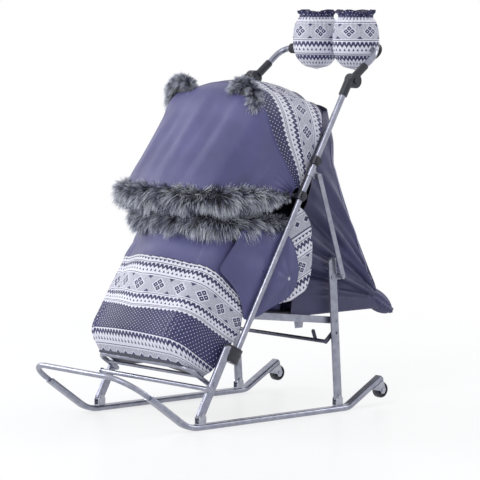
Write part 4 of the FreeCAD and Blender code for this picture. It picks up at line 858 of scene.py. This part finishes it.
def round_path(points, radius, count=160):
    points = [np.array(p, dtype=float) for p in points]
    out = [points[0]]
    for before, corner, after in zip(points, points[1:], points[2:]):
        a = before - corner
        b = after - corner
        cut = min(radius, np.linalg.norm(a) / 2.0, np.linalg.norm(b) / 2.0)
        first = corner + a / np.linalg.norm(a) * cut
        last = corner + b / np.linalg.norm(b) * cut
        for t in np.linspace(0.0, 1.0, 14):
            out.append((1 - t) ** 2 * first + 2 * t * (1 - t) * corner + t * t * last)
    out.append(points[-1])
    return even(out, count)[0]


muff_fur = fur_roll("muff_fur_roll", round_path(MUFF_FUR_PATH, 90.0), 15.0, 36.0, 14, 14000, 0.45, ends=0.8)
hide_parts("muff_fur")
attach(muff_fur, "seat")
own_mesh(muff)
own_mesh(muff_fur)


# Side flaps and wings
FLAP_FACE_X = 191.6
FLAP_SNAP = (308.0, 354.0)
FLAP_EDGE = ((230.0, 480.0), (146.0, 486.0), (138.0, 459.0), (110.0, 428.0), (78.0, 391.0), (117.0, 358.0),
             (146.0, 321.0), (156.0, 290.0), (158.0, 258.0), (209.0, 266.0), (262.0, 290.0), (310.0, 306.0),
             (334.0, 334.0), (344.0, 372.0), (338.0, 404.0), (326.0, 440.0), (304.0, 470.0))
WING_EDGE = ((346.0, 538.0), (370.0, 522.0), (391.0, 488.0), (396.0, 430.0), (393.0, 368.0), (377.0, 322.0),
             (330.0, 297.0), (268.0, 290.0), (250.0, 330.0), (262.0, 420.0), (290.0, 478.0), (322.0, 512.0))


def closed_curve(points, count, corner=16.0):
    start = (np.array(points[0]) + np.array(points[-1])) / 2.0
    rim = round_path([start, *points, start], corner, count * 4)
    return even(rim, count + 1)[0][:-1]


HANDLE_FOOT = (121.0, 165.0)


# Distance from the handle tube's axis, in side view
def from_tube(y, z):
    return (y - HANDLE_FOOT[0]) * math.cos(HANDLE_LEAN) - (z - HANDLE_FOOT[1]) * math.sin(HANDLE_LEAN)


# A panel from its edge in side view, puffed towards the outside; height and place are functions of y and z
def side_panel(name, edge, face_x, puff, side, material, relief, place, thick, rows=26, count=150):
    rim = closed_curve(edge, count)
    middle = rim.mean(axis=0)
    share = np.linspace(0.02, 1.0, rows)[:, None, None]
    flat = middle + (rim[None, :, :] - middle) * share
    crown = puff * (1.0 - np.clip(share[:, :, 0], 0, 1) ** 3)
    clear = smooth_step(np.abs(from_tube(flat[:, :, 0], flat[:, :, 1])), 8.0, 34.0)
    swell = crown + relief(flat[:, :, 0], flat[:, :, 1]) * (1.0 - share[:, :, 0] ** 6)
    x = face_x + np.where(swell > 0.0, swell * clear, swell)
    grid = np.stack([side * x, flat[:, :, 0], flat[:, :, 1]], axis=2)
    uv = place(flat[:, :, 0], flat[:, :, 1])
    return cloth(name, grid, uv, [material], thick, side=-side, loop=True)


def flap_relief(y, z):
    from_snap = np.hypot(y - FLAP_SNAP[0], z - FLAP_SNAP[1])
    angle = np.arctan2(z - FLAP_SNAP[1], y - FLAP_SNAP[0])
    rays = 3.4 * np.sin(angle * 9.0 + 0.6) * np.exp(-((from_snap - 120.0) / 90.0) ** 2)
    dimple = -2.6 * np.exp(-(from_snap / 13.0) ** 2)
    seam = -1.8 * np.exp(-(((y - 84.0) * 0.86 - (z - 391.0) * 0.5) / 5.0) ** 2) * (z > 385.0)
    return rays + dimple + seam


def wing_place(y, z):
    tilt = math.radians(24.0)
    u = y * math.cos(tilt) + z * math.sin(tilt)
    v = 610.0 - (z * math.cos(tilt) - y * math.sin(tilt))
    return np.stack([u - 18.0, v], axis=2)


def plain_place(y, z):
    return np.stack([y, z], axis=2)


def ball(name, centre, radii, material, rows=14, cols=28):
    theta = np.linspace(0.0, math.pi, rows)[:, None]
    phi = np.linspace(0.0, 2.0 * math.pi, cols, endpoint=False)[None, :]
    grid = np.stack([np.cos(theta) * np.ones_like(phi) * radii[0], np.sin(theta) * np.cos(phi) * radii[1],
                     np.sin(theta) * np.sin(phi) * radii[2]], axis=2)
    uv = np.stack([theta * 20.0 * np.ones_like(phi), phi * 20.0 * np.ones_like(theta)], axis=2)
    return cloth(name, grid + np.asarray(centre), uv, [material], 0.4, side=-1.0, loop=True)


for side, label in ((1.0, "left"), (-1.0, "right")):
    flap = side_panel("side_flap_" + label + "_cover", FLAP_EDGE, FLAP_FACE_X - 0.2, 7.0, side, PLAIN,
                      flap_relief, plain_place, 3.0)
    wing = side_panel("side_wing_" + label, WING_EDGE, FLAP_FACE_X - 4.5, 1.0, side, KNIT,
                      lambda y, z: 1.2 * np.sin(z * 0.05), wing_place, 2.5)
    snap = ball("flap_snap_" + label, (side * (FLAP_FACE_X + 2.0), *FLAP_SNAP), (3.0, 7.0, 7.0), SNAP)
    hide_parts("side_flap_" + label)
    for piece in (flap, wing, snap):
        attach(piece, "seat")


# Rear tent
# Rings as (height, front edge, back edge, half width, corner radius)
TENT_RINGS = ((253.0, 330.0, 680.0, 180.5, 50.0), (340.0, 340.0, 636.0, 180.5, 50.0),
              (490.0, 372.0, 566.0, 180.5, 50.0), (640.0, 410.0, 506.0, 180.5, 46.0),
              (727.0, 446.0, 494.0, 178.5, 30.0), (806.0, 474.0, 496.0, 140.0, 14.0))
TENT_GATHER = (655.0, 275.0)
TENT_COLS = 221
# Above this height the cloth is squeezed, so that its top edge follows the hood's rear bow
TENT_NECK = 620.0


def tent_relief(y, z):
    away = np.hypot(y - TENT_GATHER[0], z - TENT_GATHER[1])
    angle = np.degrees(np.arctan2(z - TENT_GATHER[1], TENT_GATHER[0] - y))
    turn = np.radians(angle)
    fan = 0.7 * np.sin(turn * 15.0 + 0.4 + 0.5 * np.sin(away * 0.012)) + 0.8 * np.sin(turn * 31.0 + 1.0)
    fan += 0.5 * np.sin(turn * 57.0 + away * 0.02)
    size = 6.5 * (away / (away + 40.0)) * (1.0 - 0.75 * smooth_step(away, 200.0, 480.0))
    swell = np.minimum(fan * size * 1.5 * smooth_step(angle, 2.0, 14.0) - 3.0, 8.0)
    low = smooth_step(z, 275.0, 330.0)
    return np.where(swell > 0.0, swell * low, swell)


# Height of the tent's top edge, under the hood's rear bow, at each distance from the middle
def tent_top(across):
    half = np.minimum(np.abs(across), 186.0)
    round_off = 158.0 + np.sqrt(np.maximum(104.0 ** 2 - (half - 83.0) ** 2, 0.0))
    reach = np.where(half < 83.0, 262.0, round_off)
    return np.minimum(HOOD_PIVOT[2] + reach * math.sin(math.radians(HOOD_REAR)) - 5.0, TENT_RINGS[-1][0])


def make_tent():
    table = np.array(TENT_RINGS)
    heights = np.linspace(table[0, 0], table[-1, 0], 130)
    values = np.stack([np.interp(heights, table[:, 0], table[:, k]) for k in range(1, 5)], axis=1)
    values = smoothed(values, 6)
    grid = np.zeros((len(heights), TENT_COLS, 3))
    place = np.zeros((len(heights), TENT_COLS, 2))
    for i, (height, (front, back, half_w, corner)) in enumerate(zip(heights, values)):
        line, far = even(arch(half_w, front, back, corner, 0.0, (60, 24, 30)), TENT_COLS)
        grid[i, :, :2] = line
        grid[i, :, 2] = height
        place[i, :, 0] = far - far[-1] / 2.0
        place[i, :, 1] = height
    above = grid[:, :, 2] - TENT_NECK
    squeeze = TENT_NECK + above * (tent_top(grid[:, :, 0]) - TENT_NECK) / (table[-1, 0] - TENT_NECK)
    grid[:, :, 2] = np.where(above > 0.0, squeeze, grid[:, :, 2])
    lateral = smooth_step(np.abs(grid[:, :, 0]), 120.0, 178.0)
    grid[:, :, 0] += np.sign(grid[:, :, 0]) * tent_relief(grid[:, :, 1], grid[:, :, 2]) * lateral
    rear = 1.0 - lateral
    hang = np.clip((grid[:, :, 2] - table[0, 0]) / 500.0, 0, 1)
    drape = 5.0 * np.sin(grid[:, :, 0] * 0.055) * np.sin(hang * math.pi)
    grid[:, :, 1] += rear * drape
    # The tent's outer face takes the darker cloth, with its painted shade
    tent = cloth("rear_tent_cover", grid, place, [TENT_CLOTH_PAINTED_SHADE, LINING], 2.0, side=-1.0, lining=1)
    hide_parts("rear_tent")
    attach(tent, "handle")
    edge = []
    for row, (_, back, _, corner) in zip(grid, values):
        side = row[row[:, 0] > 0.0]
        at = side[np.argmin(np.abs(side[:, 1] - (back - corner * 0.62)))]
        if 330.0 < at[2] < 690.0:
            edge.append(at)
    return tent, smoothed(np.array(edge), 12)


tent, tent_edge = make_tent()
TENT_SQUASH = {"axis": (0.0, math.cos(HANDLE_LEAN), -math.sin(HANDLE_LEAN)),
               "anchor": tuple(to_frame(HOOD_PIVOT)), "keep": 0.12}
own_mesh(tent)


# Piping on the tent's side seam, and the gathered bunch at its lower rear corner
def tent_extras(side, label):
    seam = tent_edge * np.array([side, 1.0, 1.0]) + np.array([side * 0.8, 0.8, 0.0])
    piping = tube("tent_piping_" + label, seam, 1.5, PIPING, 8)
    steps = np.linspace(0.0, 1.0, 40)
    path = np.array([(side * (160.0 + 4.0 * t), 606.0 + 92.0 * t ** 1.1, 302.0 - 62.0 * t ** 0.9) for t in steps])
    size = 8.0 + 16.0 * np.sin(np.clip(steps * 1.02 + 0.04, 0.0, 1.0) * math.pi) ** 0.6
    # The bunch takes the tent's darker cloth, with its painted shade
    bunch = tube("tent_bunch_" + label, path, size, TENT_CLOTH_PAINTED_SHADE, 48, (1.0, 0.0, 0.0), 0.7)
    verts = np.array([v.co for v in bunch.data.vertices])
    centre = to_frame(path)
    near = np.argmin(((verts[:, None, :] - centre[None, ::4, :]) ** 2).sum(axis=2), axis=1) * 4
    spoke = verts - centre[near]
    angle = np.arctan2(spoke[:, 0], spoke[:, 2])
    verts = centre[near] + spoke * (1.0 + 0.12 * np.sin(angle * 8.0))[:, None]
    for vertex, co in zip(bunch.data.vertices, verts):
        vertex.co = co
    for piece in (piping, bunch):
        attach(piece, "handle")
        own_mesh(piece)


tent_extras(1.0, "left")
tent_extras(-1.0, "right")


# Mittens
# A gathered bag with a frill on top, hung on the bar by a ribbed cuff
def make_mitten(node, turn):
    low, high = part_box(node)
    centre = (np.array(low) + np.array(high)) / 2.0 / MM
    centre[1] -= DATUM_Y / MM
    half = (np.array(high) - np.array(low)) / 2.0 / MM
    rows, cols = 120, 160
    t = np.linspace(0.0, 1.0, rows)
    profile = hermite([0.0, 0.04, 0.12, 0.28, 0.50, 0.70, 0.82, 0.89, 0.93, 1.0],
                      [0.04, 0.44, 0.72, 0.94, 1.0, 0.95, 0.85, 0.74, 0.72, 0.80], t)
    angles = np.linspace(0.0, 2.0 * math.pi, cols, endpoint=False)
    ripple = smooth_step(t, 0.86, 0.98)[:, None] * 0.10 * np.sin(angles * 17.0)[None, :]
    gather = smooth_step(t, 0.50, 0.90)[:, None] * 0.030 * np.sin(angles * 29.0 + 1.0)[None, :]
    soft = 0.035 * np.sin(angles * 3.0 + turn)[None, :] * np.sin(t * math.pi)[:, None]
    reach = profile[:, None] * (1.0 + ripple + gather + soft)
    x = np.sign(np.cos(angles)) * np.abs(np.cos(angles)) ** 0.92 * half[0]
    y = np.sign(np.sin(angles)) * np.abs(np.sin(angles)) ** 0.92 * half[1]
    z = centre[2] - half[2] + 2.0 * half[2] * t
    sway = 3.0 * np.sin(angles * 4.0 + turn)[None, :] * smooth_step(t, 0.90, 1.0)[:, None]
    grid = np.stack([centre[0] + x[None, :] * reach, centre[1] + y[None, :] * reach, z[:, None] + sway], axis=2)
    girth = 2.0 * math.pi * (half[0] + half[1]) / 2.0
    repeats = round(girth / DIAMOND_PITCH) * DIAMOND_PITCH
    u = np.repeat((angles / (2.0 * math.pi) * repeats + turn * 20.0)[None, :], rows, axis=0)
    v = 78.0 + (0.655 - t) * 165.0
    v = np.where(v > 146.0, v + 104.0, v)
    v = np.where(t > 0.89, 165.0 + (1.0 - t) * 160.0, v)
    v = np.repeat(v[:, None], cols, axis=1)
    mitten = cloth(node + "_cover", grid, np.stack([u, v], axis=2), [KNIT, LINING], 3.0, side=-1.0, loop=True,
                   lining=1)
    share = np.linspace(0.0, 1.0, 40)
    lean = np.array([0.0, 0.86, -0.50])
    start = centre + np.array([0.0, half[1] * 0.72, -half[2] * 0.16])
    radii = 21.0 + 1.3 * np.sin(share * 50.0) + 2.0 * share
    cuff = tube(node + "_cuff", start + share[:, None] * lean * 40.0, radii, BLACK_PILE, 40, (1.0, 0.0, 0.0))
    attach(cuff, "handle_bar")
    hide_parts(node)
    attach(mitten, "handle_bar")


make_mitten("mitten_left", 0.4)
make_mitten("mitten_right", 2.1)


# Straps
# Webbing wrapped round each front leg and handle tube, and a strap between the collars
LEG_LEAN = math.radians(28.7)
WRAP_AT = (202.0, 114.0, 178.0)
WRAP_FLAT = 0.58
STRAP_ENDS = ((199.0, 336.0, 566.0), (199.0, 380.0, 645.0))

for side, label in ((1.0, "left"), (-1.0, "right")):
    steps = np.linspace(-1.0, 1.0, 24)[:, None]
    mirror = np.array([side, 1.0, 1.0])
    line = WRAP_AT * mirror + steps * 19.0 * np.array([0.0, math.sin(LEG_LEAN), math.cos(LEG_LEAN)])
    wrap = tube("leg_wrap_" + label, line, 1.0 + 0.4 * np.sin(steps[:, 0] * 9.0) + 25.0, WEBBING, 32,
                (0.0, math.cos(LEG_LEAN), -math.sin(LEG_LEAN)))
    middle = side * WRAP_AT[0] * MM
    for vertex in wrap.data.vertices:
        vertex.co.x = middle + (vertex.co.x - middle) * WRAP_FLAT
    low, high = (np.array(end) * mirror for end in STRAP_ENDS)
    strap = tube("collar_strap_" + label, low + (high - low) * (steps + 1.0) / 2.0, 3.0, WEBBING, 12,
                 (1.0, 0.0, 0.0))
    for piece, body in ((wrap, "front_legs"), (strap, "handle")):
        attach(piece, body)


# Seat and back pads
PAD_VOXEL = 0.006
PAD_SWELL = 0.006
PAD_FRAMES = 20


# A pad grown from its solid and puffed by cloth pressure, by no more than PAD_SWELL
def pad(node, body):
    source = frame["nodes"][node]
    made = source.copy()
    made.data = source.data.copy()
    made.name = node + "_cover"
    made.parent = None
    made.matrix_world = source.matrix_world.copy()
    bpy.context.collection.objects.link(made)
    made.hide_render = False
    bpy.context.view_layer.objects.active = made
    remesh = made.modifiers.new("remesh", "REMESH")
    remesh.mode = "VOXEL"
    remesh.voxel_size = PAD_VOXEL
    bpy.ops.object.select_all(action="DESELECT")
    made.select_set(True)
    bpy.ops.object.modifier_apply(modifier="remesh")
    rest = np.array([v.co for v in made.data.vertices])
    swell = made.modifiers.new("cloth", "CLOTH")
    swell.settings.use_pressure = True
    swell.settings.uniform_pressure_force = 4.0
    swell.settings.effector_weights.gravity = 0.0
    scene = bpy.context.scene
    scene.frame_start, scene.frame_end = 1, PAD_FRAMES
    for step in range(1, PAD_FRAMES + 1):
        scene.frame_set(step)
    bpy.ops.object.modifier_apply(modifier="cloth")
    moved = np.array([v.co for v in made.data.vertices]) - rest
    size = np.linalg.norm(moved, axis=1, keepdims=True)
    limit = np.minimum(1.0, PAD_SWELL / np.maximum(size, 1e-9))
    for vertex, co in zip(made.data.vertices, rest + moved * limit):
        vertex.co = co
    scene.frame_set(1)
    made.data.materials.clear()
    made.data.materials.append(PLAIN)
    for polygon in made.data.polygons:
        polygon.use_smooth = True
        polygon.material_index = 0
    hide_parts(node)
    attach(made, body)


pad("seat_pad", "seat")
pad("backrest_pad", "backrest")


# A floor that the camera sees as white, more so away from the object: share is its white beneath it
def backdrop_material(name, share):
    graph = Graph(name)
    graph.finish((0.86, 0.88, 0.91), 0.35)
    light = graph.node("Emission")
    light.inputs["Color"].default_value = (1.0, 1.0, 1.0, 1.0)
    light.inputs["Strength"].default_value = 1.0
    path = graph.node("LightPath")
    seen = graph.either(path.outputs["Is Camera Ray"], path.outputs["Is Glossy Ray"])
    seen = graph.either(seen, path.outputs["Is Transmission Ray"])
    reach = graph.node("VectorMath", operation="LENGTH")
    graph.put(reach.inputs[0], graph.node("TexCoord").outputs["Object"])
    fade = graph.node("MapRange", interpolation_type="SMOOTHSTEP")
    graph.put(fade.inputs["Value"], reach.outputs["Value"])
    fade.inputs["From Min"].default_value = 0.9
    fade.inputs["From Max"].default_value = 2.6
    fade.inputs["To Min"].default_value = share
    fade.inputs["To Max"].default_value = 1.0
    seen = graph.mul(seen, fade.outputs["Result"])
    mixer = graph.node("MixShader")
    graph.put(mixer.inputs[0], seen)
    graph.put(mixer.inputs[1], graph.shader.outputs[0])
    graph.put(mixer.inputs[2], light.outputs[0])
    graph.put(graph.tree.nodes["Material Output"].inputs["Surface"], mixer.outputs[0])
    return graph.material


floor_mesh = bpy.data.meshes.new("floor")
floor_mesh.from_pydata([(-30, -30, 0), (30, -30, 0), (30, 30, 0), (-30, 30, 0)], [], [(0, 1, 2, 3)])
floor_mesh.materials.append(backdrop_material("floor", 0.72))
floor = bpy.data.objects.new("floor", floor_mesh)
floor.location.z = -0.0005
bpy.context.collection.objects.link(floor)

world = bpy.data.worlds.new("studio")
bpy.context.scene.world = world
world.use_nodes = True
tree = world.node_tree
background = tree.nodes["Background"]
background.inputs["Color"].default_value = (1.0, 1.0, 1.0, 1.0)
path = tree.nodes.new("ShaderNodeLightPath")
seen = tree.nodes.new("ShaderNodeMath")
seen.operation = "MAXIMUM"
tree.links.new(path.outputs["Is Camera Ray"], seen.inputs[0])
tree.links.new(path.outputs["Is Glossy Ray"], seen.inputs[1])
level = tree.nodes.new("ShaderNodeMapRange")
level.inputs["To Min"].default_value = 0.62
level.inputs["To Max"].default_value = 1.0
tree.links.new(seen.outputs[0], level.inputs["Value"])
tree.links.new(level.outputs["Result"], background.inputs["Strength"])


def area_light(name, at, aim, size, power):
    data = bpy.data.lights.new(name, "AREA")
    data.shape = "DISK"
    data.size = size
    data.energy = power
    lamp = bpy.data.objects.new(name, data)
    bpy.context.collection.objects.link(lamp)
    direction = Vector(aim) - Vector(at)
    lamp.matrix_world = Matrix.Translation(Vector(at)) @ direction.to_track_quat("-Z", "Y").to_matrix().to_4x4()


area_light("key", (1.2, -3.6, 3.2), (0.0, 0.0, 0.5), 2.2, 85.0)
area_light("side", (-3.0, -1.6, 1.6), (0.0, 0.0, 0.5), 1.6, 55.0)
area_light("back", (0.8, 3.2, 2.4), (0.0, 0.0, 0.6), 1.8, 40.0)

bpy.context.scene.view_settings.view_transform = "Standard"
